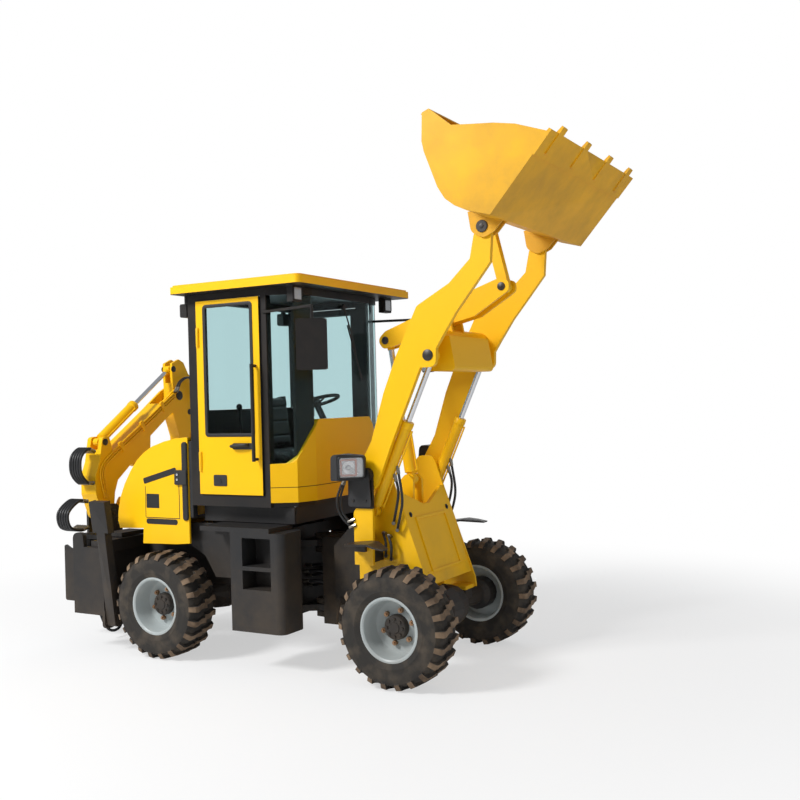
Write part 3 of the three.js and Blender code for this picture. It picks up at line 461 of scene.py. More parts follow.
side_rubber = dusty_rubber("side_rubber", (0.030, 0.027, 0.024), (0.075, 0.060, 0.045), 0.5)
lug_rubber = dusty_rubber("lug_rubber", (0.10, 0.068, 0.045), (0.24, 0.165, 0.105), 0.62)
rim_silver = sprayed("rim_silver", (0.40, 0.44, 0.44), 0.34, dust_height=0.8, most_dust=0.4, least_dust=0.0)
plated_steel, _, _ = principled("plated_steel", (0.36, 0.22, 0.13), 0.35, 0.9)

CARCASS_HALF = [
    (0.2124, 0.119), (0.222, 0.128), (0.236, 0.136), (0.262, 0.145), (0.268, 0.147), (0.274, 0.145),
    (0.31, 0.1495), (0.345, 0.1495), (0.368, 0.142), (0.384, 0.122), (CARCASS, 0.09), (0.398, 0.03)]
CARCASS_PROFILE = [(radius, -height) for radius, height in CARCASS_HALF] + CARCASS_HALF[::-1]
RIM_PROFILE = [
    (0, -0.004), (0.100, -0.004), (0.112, -0.010), (0.150, -0.014), (0.178, -0.006), (0.190, 0.012),
    (0.196, 0.060), (0.200, 0.112), (0.204, 0.126), (0.214, 0.1325), (0.226, 0.1325), (0.2295, 0.128),
    (0.226, 0.1215), (0.2116, 0.1195), (0.2116, -0.1195), (0.226, -0.1215), (0.2295, -0.128),
    (0.226, -0.1325), (0.214, -0.1325), (0.204, -0.126), (0.198, -0.10), (0.190, -0.03), (0.150, -0.024),
    (0, -0.022)]
HUB_PROFILE = [
    (0, 0.056), (0.036, 0.056), (0.040, 0.050), (0.060, 0.048), (0.080, 0.045), (0.086, 0.038),
    (0.088, -0.002), (0, -0.002)]
HUB_BOLT = [(0, 0.066), (0.009, 0.066), (0.011, 0.063), (0.011, 0.04), (0, 0.04)]
STUD = [(0, 0.026), (0.009, 0.026), (0.009, 0.014), (0.017, 0.014), (0.019, 0.010), (0.019, -0.012),
        (0, -0.012)]


def middle_of(packed):
    """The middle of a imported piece's box."""
    low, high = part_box(packed)
    return (np.array(low) + np.array(high)) / 2


def bolt_circle(count, radius, start=0.0):
    """The offsets of count bolts round a wheel's middle, the first of them at start."""
    return [radius * np.array((math.cos(a), 0, math.sin(a)))
            for a in np.arange(count) * (2 * math.pi / count) + start]


for end in ("rear", "front"):
    for hand, outward in SIDES:
        place = f"{end}_{hand}"
        centre = middle_of("tyre_" + place)
        axle = (0, outward, 0)
        skin("tyre_shape_" + place, [
            turned(CARCASS_PROFILE, centre, axle, 96, True), lug_row(centre, 1.0), lug_row(centre, -1.0)],
            [side_rubber, lug_rubber], place + "_wheel", ["tyre_" + place], 30)
        skin("rim_shape_" + place, [turned(RIM_PROFILE, centre, axle, 72)], [rim_silver],
             place + "_wheel", ["rim_" + place], 30)
        skin("wheel_hub_" + place, [turned(HUB_PROFILE, centre, axle, 36)] + [
            turned(HUB_BOLT, centre + offset - (0, outward * 0.008, 0), axle, 6)
            for offset in bolt_circle(8, 0.062)], [dark_paint], place + "_wheel")
        skin("wheel_studs_" + place, [
            turned(STUD, centre + offset, axle, 12) for offset in bolt_circle(6, 0.118, 0.3)],
            [plated_steel], place + "_wheel")


# ---------------------------------------------------------------- the hydraulic cylinders
# Each ram is a honed steel barrel with a welded foot, a screwed gland and a steel feed pipe, sprayed
# yellow, and a hard chromed rod with a forged eye that slides in it between two pins.

record = frame["record"]
joints = {joint["name"]: joint for joint in record["behaviour"]["joints"]}
rod_chrome, chrome_tree, chrome_shader = principled("rod_chrome", (0.72, 0.73, 0.75), 0.14, 1.0)
scratch = node(chrome_tree, "TexNoise", {"Scale": 40.0})
scratch_range = node(chrome_tree, "MapRange", {"To Min": 0.08, "To Max": 0.26})
wire(chrome_tree, (node(chrome_tree, "TexCoord").outputs["Object"], scratch.inputs["Vector"]),
     (scratch.outputs["Fac"], scratch_range.inputs["Value"]),
     (scratch_range.outputs[0], chrome_shader.inputs["Roughness"]))


def smooth_path(points, steps=8):
    """A Catmull-Rom curve through the points: each cubic runs from its second point to its third."""
    p = np.asarray(points, float)
    p = np.concatenate([[2 * p[0] - p[1]], p, [2 * p[-1] - p[-2]]])
    t = np.linspace(0, 1, steps, endpoint=False)[:, None]
    a, b, c, d = p[:-3, None], p[1:-2, None], p[2:-1, None], p[3:, None]
    curve = 0.5 * (2 * b + (c - a) * t + (2 * a - 5 * b + 4 * c - d) * t ** 2
                   + (3 * b - a - 3 * c + d) * t ** 3)
    return np.concatenate([curve.reshape(-1, 3), p[-2:-1]])


def tube(path, radius, sides=12):
    """Rings of the given radius square to the path, closed by a pole at each end.

    Each ring's first direction is the last ring's with its part along the path taken off.
    """
    path = np.asarray(path, float)
    along = np.gradient(path, axis=0)
    along /= np.linalg.norm(along, axis=1)[:, None]
    first = [square_to(along[0])[0]]
    for way in along[1:]:
        first.append(unit(first[-1] - np.dot(first[-1], way) * way))
    first = np.array(first)
    second = np.cross(along, first)
    angle = np.linspace(0, 2 * np.pi, sides, endpoint=False)[:, None]
    rings = path[:, None] + radius * (np.cos(angle) * first[:, None] + np.sin(angle) * second[:, None])
    ends = [np.repeat(path[i][None, None], sides, 1) for i in (0, -1)]
    rings = np.concatenate([ends[0], rings, ends[1]])
    return rings.reshape(-1, 3), grid_faces(len(rings), sides)


def ram(name, turn, slide, reach, length, barrel, rod, eye, width, across, feed):
    """Barrel and rod along the slide's axis from the turn's pin, with a cross eye at each end."""
    foot = np.array(joints[turn]["pos_m"])
    way = unit(joints[slide]["axis"])
    gland = barrel * 1.1
    half = width / 2
    cross = [(0, -half), (eye - 0.003, -half), (eye, -half + 0.003), (eye, half - 0.003),
             (eye - 0.003, half), (0, half)]
    neck = min(barrel * 0.75, half - 0.004)
    shell = [(0, eye * 0.5), (neck, eye * 0.5), (neck, eye + 0.008), (barrel, eye + 0.016),
             (barrel, length - 0.05), (gland, length - 0.045), (gland, length - 0.006),
             (gland - 0.004, length), (rod + 0.001, length), (rod + 0.001, length - 0.02),
             (0, length - 0.02)]
    pipe = smooth_path([foot + way * along + feed * out for along, out in (
        (eye + 0.03, barrel * 0.9), (eye + 0.035, barrel + 0.014), (eye + 0.07, barrel + 0.014),
        (length - 0.10, barrel + 0.014), (length - 0.065, barrel + 0.012),
        (length - 0.055, barrel * 0.9))], 6)
    shaft = [(0, length - 0.05), (rod, length - 0.05), (rod, reach - eye * 0.6), (0, reach - eye * 0.6)]
    shank = [(0, reach - eye - 0.03), (rod * 1.25, reach - eye - 0.03), (rod * 1.35, reach - eye * 0.5),
             (0, reach - eye * 0.5)]
    skin(name + "_barrel_shape", [
        turned(shell, foot, way), turned(cross, foot, across, 32), tube(pipe, 0.007)],
         [yellow_paint], joints[turn]["child"], [name + "_barrel"])
    skin(name + "_rod_shape", [
        turned(shaft, foot, way, 40), turned(shank, foot, way, 32) + (1,),
        turned(cross, foot + way * reach, across, 32) + (1,)],
         [rod_chrome, yellow_paint], joints[slide]["child"], [name + "_rod"])


ACROSS_Y, ACROSS_X = np.array((0, 1.0, 0)), np.array((1.0, 0, 0))
FORWARD_FEED = unit((1, 0, -0.46))
for hand in ("left", "right"):
    ram(f"lift_cylinder_{hand}", f"lift_barrel_{hand[0]}_turn", f"lift_rod_{hand[0]}_slide",
        1.2348, 0.72, 0.042, 0.020, 0.040, 0.056, ACROSS_Y, FORWARD_FEED)
ram("tilt_cylinder", "tilt_barrel_turn", "tilt_rod_slide",
    1.0819, 0.43, 0.045, 0.022, 0.042, 0.070, ACROSS_Y, ACROSS_X)
ram("boom_cylinder", "boom_barrel_turn", "boom_rod_slide",
    0.85, 0.44, 0.038, 0.019, 0.036, 0.070, ACROSS_X, unit((0, 0.8, -0.6)))
ram("dipper_cylinder", "dipper_barrel_turn", "dipper_rod_slide",
    1.1375, 0.56, 0.046, 0.020, 0.034, 0.056, ACROSS_X, ACROSS_X)
ram("bucket_cylinder", "dig_barrel_turn", "dig_rod_slide",
    0.6666, 0.345, 0.030, 0.015, 0.028, 0.056, ACROSS_X, ACROSS_X)


# ---------------------------------------------------------------- the pin heads
# Every joint of the working gear turns on a hardened pin. Its dark head stands a little proud of the
# outer plate and is held by one bolt and a washer.

pin_steel, _, _ = principled("pin_steel", (0.045, 0.042, 0.040), 0.42, 0.6)


def pin_head(centre, axis, radius, proud):
    """A shallow chamfered disc with a hexagon bolt in its middle, starting just inside the plate."""
    centre, axis = np.asarray(centre, float), np.asarray(axis, float)
    disc = [(0, -0.002), (radius, -0.002), (radius, proud * 0.55), (radius - 0.003, proud * 0.75),
            (0, proud * 0.75)]
    bolt = [(0, 0), (radius * 0.42, 0), (radius * 0.42, proud - 0.0005), (radius * 0.36, proud),
            (0, proud)]
    return [turned(disc, centre, axis, 32), turned(bolt, centre, axis, 6)]


def pin_pair(name, body, pin, middle, half, radius, proud, along_x=False):
    """The two heads of one pin, half a width each way from the middle along Y or along X."""
    parts = []
    for sign in (1, -1):
        place = middle + sign * half
        centre = (place, pin[0], pin[1]) if along_x else (pin[0], place, pin[1])
        parts += pin_head(centre, (sign, 0, 0) if along_x else (0, sign, 0), radius, proud)
    skin(name, parts, [pin_steel], body)


BACKHOE_X = joints["boom_lift"]["pos_m"][0]
ARM_PIVOT, BUCKET_PIN = [
    (joints[name]["pos_m"][0], joints[name]["pos_m"][2]) for name in ("arms_lift", "bucket_tilt")]
for name, body, pin, half, radius, proud in (
        ("arm_pivot_pins", "front_chassis", ARM_PIVOT, 0.565, 0.042, 0.012),
        ("lift_eye_pins", "arms", (1.220, 2.300), 0.515, 0.040, 0.010),
        ("bucket_pins", "bucket", BUCKET_PIN, 0.535, 0.042, 0.012),
        ("rocker_pivot_pins", "arms", (1.110, 2.600), 0.105, 0.036, 0.010),
        ("rocker_front_pins", "rocker", (1.600, 2.790), 0.073, 0.030, 0.008),
        ("rocker_rear_pins", "rocker", (0.620, 2.450), 0.073, 0.030, 0.008),
        ("link_pins", "bucket", (1.480, 3.280), 0.066, 0.030, 0.008)):
    pin_pair(name, body, pin, 0.0, half, radius, proud)
for name, body, pin, half, radius, proud in (
        ("boom_foot_pins", "swing_post", (-0.290, 1.055), 0.125, 0.042, 0.012),
        ("boom_ram_foot_pins", "swing_post", (-0.310, 0.810), 0.125, 0.034, 0.010),
        ("boom_ram_eye_pins", "boom", (0.200, 1.490), 0.090, 0.030, 0.008),
        ("dipper_ram_foot_pins", "boom", (-0.330, 1.690), 0.090, 0.030, 0.008),
        ("boom_tip_pins", "boom", (0.640, 2.090), 0.090, 0.044, 0.010),
        ("dipper_ram_eye_pins", "dipper", (0.600, 2.345), 0.060, 0.030, 0.008),
        ("bucket_ram_foot_pins", "dipper", (0.815, 1.930), 0.060, 0.028, 0.006),
        ("push_pins", "push_link", (0.893, 1.268), 0.146, 0.026, 0.007),
        ("dig_link_pins", "push_link", (0.851, 1.055), 0.146, 0.026, 0.007)):
    pin_pair(name, body, pin, BACKHOE_X, half, radius, proud, True)


# ---------------------------------------------------------------- the glass and its rubber
# Panes of blue-green safety glass, bonded to the pillars or held in the doors by a black rubber
# section. A two-piece wiper hangs from the windshield's header.

glazing, _, glass_shader = principled("glazing", (0.66, 0.80, 0.81), 0.0)
glass_shader.inputs["Transmission Weight"].default_value = 1.0
glass_shader.inputs["IOR"].default_value = 1.12
for name in ("windshield", "rear_window", "door_glass_left", "door_glass_right"):
    dress(name, glazing, 0)

black_rubber, _, _ = principled("black_rubber", (0.010, 0.010, 0.011), 0.6)


def grained(name, colour, roughness, scale, strength):
    """A moulded finish, with a fine grain pressed in."""
    made, tree, shader = principled(name, colour, roughness)
    grain = node(tree, "TexNoise", {"Scale": scale})
    relief = node(tree, "Bump", {"Strength": strength, "Distance": 0.001})
    wire(tree, (node(tree, "TexCoord").outputs["Object"], grain.inputs["Vector"]),
         (grain.outputs["Fac"], relief.inputs["Height"]), (relief.outputs[0], shader.inputs["Normal"]))
    return made


trim_plastic = grained("trim_plastic", (0.016, 0.016, 0.017), 0.55, 400.0, 0.2)


def round_outline(half_u, half_v, corner, steps=6):
    """A rectangle with its four corners turned to arcs, as (u, v) pairs going round once."""
    a = np.linspace(0, np.pi / 2, steps)
    quarters = [(np.cos(a + q * np.pi / 2) * corner, np.sin(a + q * np.pi / 2) * corner) for q in range(4)]
    signs = ((1, 1), (-1, 1), (-1, -1), (1, -1))
    return np.concatenate([
        np.stack([x + sx * (half_u - corner), y + sy * (half_v - corner)], -1)
        for (x, y), (sx, sy) in zip(quarters, signs)])


def plate(centre, u, v, half_u, half_v, corner, thick, edge=0.002):
    """A rounded rectangle in the plane of u and v, raised along u cross v, its rim eased by edge."""
    u, v = unit(u), unit(v)
    n = np.cross(u, v)
    levels = ((0, 0), (0, thick - edge), (edge, thick))
    rings = [np.zeros((24, 3)) + centre]
    for inset, height in levels:
        ring = round_outline(half_u - inset, half_v - inset, max(corner - inset, 0.0005))
        rings.append(centre + ring[:, :1] * u + ring[:, 1:] * v + height * n)
    rings.append(np.zeros((24, 3)) + centre + thick * n)
    return np.concatenate(rings), grid_faces(len(rings), 24)


def frame_strip(centre, u, v, half_u, half_v, corner, width, thick):
    """A rounded rectangular hoop of the given width, raised along u cross v."""
    u, v = unit(u), unit(v)
    n = np.cross(u, v)
    rings = []
    for inset, height in (
            (0, 0), (0, thick * 0.7), (width * 0.25, thick), (width * 0.75, thick), (width, thick * 0.7),
            (width, 0)):
        ring = round_outline(half_u - inset, half_v - inset, max(corner - inset * 0.6, 0.002))
        rings.append(centre + ring[:, :1] * u + ring[:, 1:] * v + height * n)
    return np.concatenate(rings), grid_faces(6, 24, True)


def outward_plane(side):
    """Two directions in a side panel whose cross product points out of the machine on that side."""
    return ((1, 0, 0), (0, 0, 1)) if side < 0 else ((-1, 0, 0), (0, 0, 1))


WINDSHIELD_X = 0.182
skin("wiper", [
    tube(smooth_path([(WINDSHIELD_X + off, y, z) for off, y, z in line]), radius, 8)
    for radius, line in (
        (0.006, ((0.006, 0.01, 2.74), (0.022, 0.02, 2.70), (0.022, 0.12, 2.50), (0.012, 0.18, 2.38))),
        (0.007, ((0.008, 0.07, 2.60), (0.008, 0.17, 2.38), (0.008, 0.27, 2.16))))] + [
    turned([(0, 0), (0.022, 0), (0.022, 0.022), (0, 0.026)], (WINDSHIELD_X, 0.01, 2.74), (1, 0, 0), 20)],
     [black_rubber], "chassis")


# ---------------------------------------------------------------- the doors' fittings
# A black plastic latch plate and pull are screwed to each yellow leaf, which turns on two welded
# hinges, and the glass sits in a thick rubber section.

DOOR_FACE = 0.718
for hand, side in SIDES:
    u, v = outward_plane(side)
    face = side * DOOR_FACE
    middle = middle_of("door_glass_" + hand)
    skin("door_rubber_" + hand, [frame_strip(
        (middle[0], face - side * 0.001, middle[2]), u, v, 0.240, 0.510, 0.03, 0.026, 0.007)],
        [black_rubber], hand + "_door")
    skin("door_fittings_" + hand, [
        plate((-0.500, face, 1.410), u, v, 0.064, 0.043, 0.010, 0.006),
        plate((-0.500, face + side * 0.005, 1.405), u, v, 0.012, 0.016, 0.004, 0.006),
        plate((-0.275, face, 1.672), u, v, 0.098, 0.024, 0.022, 0.012),
        tube(smooth_path([(x, face + side * out, z) for x, out, z in (
            (-0.360, 0, 1.668), (-0.360, 0.035, 1.674), (-0.300, 0.045, 1.680), (-0.225, 0.035, 1.684),
            (-0.215, 0, 1.684))]), 0.012, 10)],
        [trim_plastic], hand + "_door")
    skin("door_hinges_" + hand, [
        turned([(0, 0), (0.011, 0), (0.013, 0.004), (0.013, 0.146), (0.011, 0.150), (0, 0.150)],
               (-0.688, face + side * 0.004, z), (0, 0, 1), 20) for z in (1.480, 2.440)],
        [yellow_paint], hand + "_door")


# ---------------------------------------------------------------- the hood's fittings
# On each side the pressed hood has a slanted air slot, a square latch pocket, an access panel with a
# folded lower lip, a bumper rubber along its front edge and a hinge bracket with two bright bolts.
# The shade in the slot, in the pocket and under the lip is painted shade, as flat black plates.

HOOD_FACE = 0.695
for hand, side in SIDES:
    u, v = outward_plane(side)
    face = side * HOOD_FACE
    slope = math.atan2(0.080, 0.300)
    # Painted shade: black plates for the shade in the air slot, the latch pocket and under the lower lip.
    skin("hood_openings_" + hand, [
        plate((-1.142, face, 1.436), (-side * math.cos(slope), 0, -side * math.sin(slope)),
              (-math.sin(slope), 0, math.cos(slope)), 0.180, 0.024, 0.012, 0.003),
        plate((-1.222, face, 1.232), u, v, 0.068, 0.057, 0.006, 0.003),
        plate((-1.130, face, 1.068), u, v, 0.165, 0.022, 0.020, 0.003)],
        [black_rubber], "hood")
    skin("hood_seams_" + hand, [
        plate((-0.942, face, 1.262), u, v, 0.003, 0.165, 0.002, 0.0015, 0.0005),
        plate((-1.118, face, 1.098), u, v, 0.178, 0.003, 0.002, 0.0015, 0.0005),
        plate((-1.300, face, 1.225), u, v, 0.0025, 0.125, 0.002, 0.0015, 0.0005)],
        [black_rubber], "hood")
    skin("hood_edge_rubber_" + hand, [
        plate((-0.873, face, 1.395), u, v, 0.027, 0.310, 0.024, 0.016, 0.006)],
        [black_rubber], "hood")
    skin("hood_bracket_" + hand, [
        plate((-0.910, face + side * 0.001, 1.425), u, v, 0.062, 0.058, 0.012, 0.022, 0.004)] + [
        turned([(0, 0), (0.011, 0), (0.011, 0.008), (0, 0.010)], (-0.935, face + side * 0.022, z),
               (0, side, 0), 6) + (1,) for z in (1.452, 1.412)],
        [trim_plastic, rod_chrome], "hood")


# ---------------------------------------------------------------- the seat
# A vinyl cushion and backrest, each foam over a steel pan, sewn with cross channels, on a black
# suspension pedestal that is bolted to the cab floor.

PAD_TRAVEL = 0.024
VOXEL = 0.006
CHANNEL_DEPTH, CHANNEL_REACH = 0.007, 0.009
seat_vinyl = grained("seat_vinyl", (0.020, 0.020, 0.022), 0.5, 260.0, 0.25)


def settle(piece):
    """The piece's modifiers made part of its mesh."""
    graph = bpy.context.evaluated_depsgraph_get()
    made = bpy.data.meshes.new_from_object(piece.evaluated_get(graph))
    piece.modifiers.clear()
    piece.data = made


def corners_of(piece):
    """The piece's vertices as an N by 3 array."""
    flat = np.empty(len(piece.data.vertices) * 3)
    piece.data.vertices.foreach_get("co", flat)
    return flat.reshape(-1, 3)


def stuffed_pad(name, centre, size, lean, channel_axis, channels):
    """A block of foam, blown up as cloth with its travel capped, then sewn with cross channels.

    A channel at c pushes each point inwards by CHANNEL_DEPTH times exp(-((s - c) / CHANNEL_REACH)^2),
    where s is the point's place along the axis.
    """
    block = bmesh.new()
    bmesh.ops.create_cube(block, size=1.0)
    bmesh.ops.scale(block, vec=size, verts=block.verts)
    mesh = bpy.data.meshes.new(name)
    block.to_mesh(mesh)
    block.free()
    pad = bpy.data.objects.new(name, mesh)
    scene.collection.objects.link(pad)
    remesh = pad.modifiers.new("remesh", "REMESH")
    remesh.mode = "VOXEL"
    remesh.voxel_size = VOXEL
    settle(pad)
    before = corners_of(pad)
    cloth = pad.modifiers.new("cloth", "CLOTH")
    cloth.settings.use_pressure = True
    cloth.settings.uniform_pressure_force = 4
    cloth.settings.effector_weights.gravity = 0
    for step in range(1, 21):
        scene.frame_set(step)
    settle(pad)
    scene.frame_set(1)
    moved = corners_of(pad) - before
    length = np.linalg.norm(moved, axis=1, keepdims=True)
    moved *= np.minimum(1, PAD_TRAVEL / np.maximum(length, 1e-9))
    pad.data.vertices.foreach_set("co", (before + moved).ravel())
    place = corners_of(pad)
    along = place[:, channel_axis, None] - np.array(channels)
    depth = CHANNEL_DEPTH * np.exp(-(along / CHANNEL_REACH) ** 2).sum(1)
    thin_axis = 2 if channel_axis == 0 else 0
    place[:, thin_axis] -= np.sign(place[:, thin_axis]) * depth
    turn = np.array(Matrix.Rotation(lean, 3, "Y"))
    pad.data.vertices.foreach_set("co", (place @ turn.T + np.array(centre)).ravel())
    smooth = pad.modifiers.new("smooth", "SUBSURF")
    smooth.levels = smooth.render_levels = 1
    settle(pad)
    pad.data.materials.clear()
    pad.data.materials.append(seat_vinyl)
    pad.data.shade_smooth()
    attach(pad, "chassis")


stuffed_pad("seat_cushion", (-0.335, 0, 1.560), (0.42, 0.42, 0.065), 0.0, 0, (-0.11, 0.0, 0.11))
stuffed_pad("seat_backrest", (-0.535, 0, 1.835), (0.065, 0.40, 0.44), -0.10, 2, (-0.12, 0.0, 0.12))
skin("seat_pedestal", [
    plate((x, 0, z), (1, 0, 0), (0, 1, 0), half_x, half_y, corner, thick, edge)
    for x, z, half_x, half_y, corner, thick, edge in (
        (-0.370, 1.242, 0.165, 0.190, 0.030, 0.060, 0.004),
        (-0.370, 1.302, 0.140, 0.165, 0.040, 0.060, 0.012),
        (-0.370, 1.362, 0.140, 0.165, 0.040, 0.060, 0.012),
        (-0.370, 1.422, 0.140, 0.165, 0.040, 0.050, 0.012),
        (-0.350, 1.472, 0.205, 0.205, 0.040, 0.034, 0.006))] + [
    plate((-0.585, 0, 1.560), (0, 0, 1), (0, 1, 0), 0.060, 0.120, 0.020, 0.012)],
     [trim_plastic], "chassis", ["seat"])


# ---------------------------------------------------------------- the steering wheel and the levers
# A foam-covered ring on three pressed spokes and a steel column that leans back out of the dash, and
# behind the seat the two backhoe levers with rubber boots and ball knobs.

WHEEL_CENTRE = np.array((-0.090, 0, 1.992))
LEAN = math.atan2(42, 150)
wheel_axis = np.array((-math.sin(LEAN), 0, math.cos(LEAN)))
wheel_up = np.array((math.cos(LEAN), 0, math.sin(LEAN)))
ring_angle = np.linspace(0, 2 * np.pi, 14, endpoint=False)
ring_profile = np.stack([0.188 + 0.014 * np.cos(ring_angle), 0.014 * np.sin(ring_angle)], -1)
spoke_ways = [math.cos(a) * wheel_up + math.sin(a) * ACROSS_Y
              for a in (math.pi / 2, math.pi * 7 / 6, math.pi * 11 / 6)]
spokes = [tube(smooth_path([
    WHEEL_CENTRE - 0.012 * wheel_axis, WHEEL_CENTRE - 0.014 * wheel_axis + 0.09 * way,
    WHEEL_CENTRE + 0.185 * way]), 0.008, 10) for way in spoke_ways]
skin("steering_wheel_shape", [
    turned(ring_profile, WHEEL_CENTRE, wheel_axis, 72, True),
    turned([(0, -0.040), (0.030, -0.040), (0.044, -0.014), (0.044, 0.004), (0.036, 0.012), (0, 0.014)],
           WHEEL_CENTRE, wheel_axis, 40),
    tube([(0.068, 0, 1.686), (-0.080, 0, 1.970)], 0.026, 24)] + spokes,
     [trim_plastic], "chassis", ["steering_wheel"])
KNOB = [(0, -0.030), (0.012, -0.028), (0.022, -0.012), (0.025, 0.004), (0.020, 0.020), (0.010, 0.028),
        (0, 0.030)]
BOOT = [(0, 0), (0.055, 0), (0.052, 0.012), (0.040, 0.016), (0.042, 0.026), (0.030, 0.030),
        (0.032, 0.040), (0.020, 0.044), (0.013, 0.070), (0, 0.070)]
skin("lever_knobs", [part for side in (1, -1) for part in (
    turned(KNOB, (-0.700, side * 0.215, 1.965), (0, 0, 1), 24),
    turned(BOOT, (-0.670, side * 0.200, 1.499), (0, 0, 1), 24))],
     [black_rubber], "chassis")


# ---------------------------------------------------------------- the lamps and the mirrors
# Each headlight is a black housing with a chromed reflector, a round projector, a fluted flasher and a
# clear cover. Square work lamps hang under the roof, and each mirror has a silvered glass.

reflector, _, _ = principled("reflector", (0.62, 0.62, 0.62), 0.22, 1.0)
lamp_clear, _, clear_shader = principled("lamp_clear", (0.93, 0.95, 0.96), 0.04)
clear_shader.inputs["Alpha"].default_value = 0.16
lamp_amber, _, _ = principled("lamp_amber", (0.34, 0.075, 0.020), 0.25)
for name in ("headlight_left", "headlight_right"):
    dress(name, trim_plastic, 0.008)
for hand, side in SIDES:
    out = unit((0.695, side * 0.719, 0))
    up = np.array((0, 0, 1.0))
    across = np.cross(up, out)
    middle = np.array((0.665, side * 0.6825, 1.518))
    skin("headlight_bezel_" + hand, [
        frame_strip(middle - 0.001 * out, across, up, 0.099, 0.082, 0.024, 0.014, 0.016)],
        [trim_plastic], "front_chassis")
    inward = side * across
    projector = middle + 0.020 * inward
    skin("headlight_reflector_" + hand, [
        plate(middle + 0.0005 * out, across, up, 0.084, 0.067, 0.016, 0.003),
        turned([(0, 0.004), (0.030, 0.005), (0.043, 0.012), (0.047, 0.012), (0.050, 0.003)],
               projector, out, 40),
        frame_strip(projector + 0.003 * out, across, up, 0.062, 0.063, 0.012, 0.014, 0.007) + (1,),
        turned([(0, 0.013), (0.010, 0.012), (0.014, 0.004), (0, 0.004)], projector, out, 24)] + [
        plate(middle - 0.060 * inward + up * rise + 0.003 * out, across, up, 0.016, 0.010, 0.004, 0.006)
        for rise in (-0.046, -0.023, 0.0, 0.023, 0.046)],
        [reflector, lamp_amber], "front_chassis")
    skin("headlight_cover_" + hand, [
        plate(middle + 0.0135 * out, across, up, 0.087, 0.070, 0.018, 0.003)],
        [lamp_clear], "front_chassis")
    skin("headlight_bolts_" + hand, [
        turned([(0, 0), (0.009, 0), (0.009, 0.007), (0, 0.008)], (x, side * 0.576, z), (0, side, 0), 6)
        for x, z in ((0.610, 1.270), (0.715, 1.270))], [pin_steel], "front_chassis")
    for end, x, z, way in (("front", 0.2252, 2.796, 1), ("rear", -0.8782, 2.738, -1)):
        lens_side = np.array((0, way, 0))
        at = np.array((x, side * (0.660 if way > 0 else 0.640), z))
        skin(f"work_lamp_{end}_{hand}", [
            plate(at, lens_side, up, 0.050, 0.046, 0.008, 0.004),
            frame_strip(at, lens_side, up, 0.054, 0.050, 0.010, 0.007, 0.008) + (1,)],
            [reflector, trim_plastic], "chassis")
    skin("mirror_glass_" + hand, [plate(
        (0.480, side * 0.8645, 2.4025), (side * 0.811, -0.585, 0), up, 0.098, 0.170, 0.020, 0.002)],
        [reflector], "chassis")


# ---------------------------------------------------------------- the front cover and the shade behind the hood
# The plate over the front of the tower is stiffened by a pressed rectangular rib and held by two bolts,
# and a black sheet on the cab is painted shade in the gap behind the hood.

cover_up = unit((-0.3205, 0, 0.9473))
cover_out = unit((0.9473, 0, 0.3205))
skin("cover_rib", [
    frame_strip(np.array((0.9995, 0, 0.920)), (0, 1, 0), cover_up, 0.240, 0.215, 0.016, 0.022, 0.010),
    plate(np.array((1.065, 0, 0.726)), (0, 1, 0), cover_up, 0.300, 0.006, 0.003, 0.004)],
     [yellow_paint], "front_chassis")
skin("cover_bolts", [part for y in (-0.290, 0.290) for part in (
    turned([(0, 0), (0.020, 0), (0.020, 0.003), (0, 0.003)], (0.9228, y, 1.146), cover_out, 24),
    turned([(0, 0.002), (0.011, 0.002), (0.011, 0.010), (0, 0.011)], (0.9228, y, 1.146), cover_out, 6))],
     [pin_steel], "front_chassis")
for hand, side in SIDES:
    u, v = outward_plane(side)
    # Painted shade: a black plate standing for the shade in the gap between the hood and the cab.
    skin("hood_gap_panel_" + hand, [
        plate((-0.821, side * 0.640, 1.410), u, v, 0.016, 0.300, 0.006, 0.050, 0.003)],
        [trim_plastic], "chassis")


# ---------------------------------------------------------------- the skirt under the cab
# A low black sheet skirt is screwed under the cab floor on three sides, over the rubber cab mounts.

SKIRT_Z, SKIRT_HALF = 1.143, 0.064
skin("cab_skirt", [
    plate((-0.335, side * 0.585, SKIRT_Z), *outward_plane(side), 0.435, SKIRT_HALF, 0.004, 0.012)
    for side in (1, -1)] + [
    plate((0.088, 0, SKIRT_Z), (0, 1, 0), (0, 0, 1), 0.575, SKIRT_HALF, 0.004, 0.012)],
     [dark_paint], "chassis")


# ---------------------------------------------------------------- the hydraulic hoses
# Rubber hoses with plated crimped ends are clamped at both ends: across the centre hinge, from the
# tower to the lift rams, in bundles that loop out of the boom and the swing post, and from the boom to
# the dipper. Along the boom they become painted steel pipes.

hose_rubber, _, _ = principled("hose_rubber", (0.012, 0.012, 0.013), 0.45)
hose_fitting, _, _ = principled("hose_fitting", (0.30, 0.28, 0.24), 0.32, 1.0)


def hose(points, radius):
    """A hose along the points, with a crimped ferrule and a hexagon nut at each end."""
    path = smooth_path(points, 8)
    parts = [tube(path, radius, 12)]
    for end, into in ((path[0], path[1] - path[0]), (path[-1], path[-2] - path[-1])):
        nut = [(0, 0), (radius * 1.5, 0), (radius * 1.5, 0.020), (0, 0.021)]
        ferrule = [(0, 0.018), (radius * 1.35, 0.018), (radius * 1.35, 0.055), (radius * 1.1, 0.058),
                   (0, 0.059)]
        parts += [turned(nut, end, into, 6) + (1,), turned(ferrule, end, into, 16) + (1,)]
    return parts


def hose_set(name, paths, radius, body, other=None):
    """Hoses on one body; when other is given, they are taken off the body and left in place."""
    piece = skin(name, [part for points in paths for part in hose(points, radius)],
                 [hose_rubber, hose_fitting], body)
    if other:
        piece.parent = None
        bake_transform(piece)


def bundle(line, places):
    """The (Y, Z) line repeated at each place along X from the backhoe's middle."""
    return [[(BACKHOE_X + x, y, z) for y, z in line] for x in places]


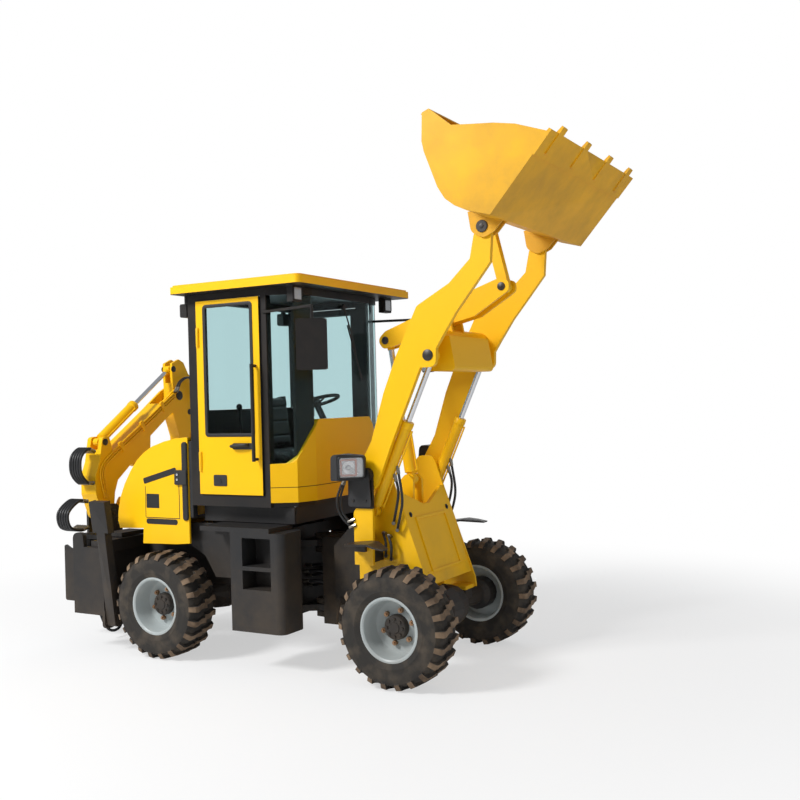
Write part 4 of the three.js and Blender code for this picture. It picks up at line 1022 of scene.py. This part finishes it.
hose_set("hinge_hoses", [
    [(-0.179, y, z), (-0.120, y, z), (-0.035, y - 0.030, z + 0.015), (0.050, y, z), (0.109, y, z)]
    for y, z in ((-0.060, 0.520), (-0.110, 0.560), (-0.060, 0.600), (-0.110, 0.640), (-0.060, 0.680))],
    0.011, "chassis", "front_chassis")
for hand, side in SIDES:
    hose_set("lift_hoses_" + hand, [
        [(0.830 + shift, side * 0.379, 1.090 + rise), (0.850 + shift, side * 0.415, 1.100 + rise),
         (0.885 + shift, side * 0.432, 1.200 + rise), (0.905 + shift, side * 0.430, 1.330 + rise),
         (0.874 + 0.9 * shift, side * 0.428, 1.455 + 1.9 * shift)]
        for shift, rise in ((0.0, 0.0), (0.030, -0.050))], 0.010,
        "front_chassis", f"lift_barrel_{hand[0]}")
    hose_set("tower_hoses_" + hand, [
        [(0.760 + shift, side * 0.379, 1.010 + rise), (0.770 + shift, side * 0.430, 1.020 + rise),
         (0.800 + shift, side * 0.450, 0.950 + rise), (0.790 + shift, side * 0.440, 0.860 + rise),
         (0.760 + shift, side * 0.379, 0.850 + rise)]
        for shift, rise in ((0.0, 0.0), (0.045, -0.020))], 0.010, "front_chassis")
    hose_set("lamp_lead_" + hand, [
        [(0.560, side * 0.600, 1.440), (0.545, side * 0.600, 1.380), (0.510, side * 0.590, 1.290),
         (0.505, side * 0.570, 1.190), (0.560, side * 0.560, 1.120), (0.600, side * 0.547, 1.130)],
        [(0.575, side * 0.620, 1.440), (0.530, side * 0.625, 1.360), (0.490, side * 0.610, 1.260),
         (0.500, side * 0.580, 1.160), (0.570, side * 0.560, 1.080), (0.610, side * 0.547, 1.090)]],
        0.009, "front_chassis")

PIPE_X = BACKHOE_X + 0.099
skin("boom_pipes", [tube(smooth_path([(PIPE_X, y, z) for y, z in (
    (-0.360 + 0.8 * d, 1.200), (-0.400 + 0.9 * d, 1.440), (-0.250 + 0.5 * d, 1.600 - 0.7 * d),
    (0.300 + 0.4 * d, 1.950 - 0.8 * d), (0.550 + 0.4 * d, 2.110 - 0.8 * d))], 12), 0.008, 12)
    for d in (0.0, 0.026, 0.052)] + [
    plate((BACKHOE_X + 0.0895, y, z), (0, 0.83, 0.56), (0, -0.56, 0.83), 0.020, 0.050, 0.006, 0.020)
    for y, z in ((-0.140, 1.640), (0.130, 1.815), (0.400, 1.990))],
     [yellow_paint], "boom")
hose_set("boom_foot_hoses", bundle(
    [(-0.440, 1.610), (-0.510, 1.640), (-0.595, 1.570), (-0.600, 1.440), (-0.530, 1.350), (-0.462, 1.340)],
    (0.072, 0.043, 0.014, -0.015, -0.044)), 0.013, "boom")
hose_set("swing_hoses", bundle(
    [(-0.545, 1.190), (-0.640, 1.200), (-0.760, 1.110), (-0.740, 0.990), (-0.620, 0.950), (-0.545, 0.970)],
    (0.080, 0.051, 0.022, -0.007, -0.036)), 0.013, "swing_post")
hose_set("dipper_hoses", bundle(
    [(0.560, 2.120), (0.640, 2.230), (0.770, 2.260), (0.860, 2.150), (0.850, 2.030)], (0.105, 0.128)),
    0.010, "boom", "dipper")
hose_set("carriage_hoses", [
    [(-1.995, -0.540, 0.380), (-1.985, -0.560, 0.250), (-1.975, -0.480, 0.090), (-1.975, -0.360, 0.075),
     (-1.985, -0.270, 0.200), (-1.995, -0.260, 0.360)]], 0.012, "carriage")
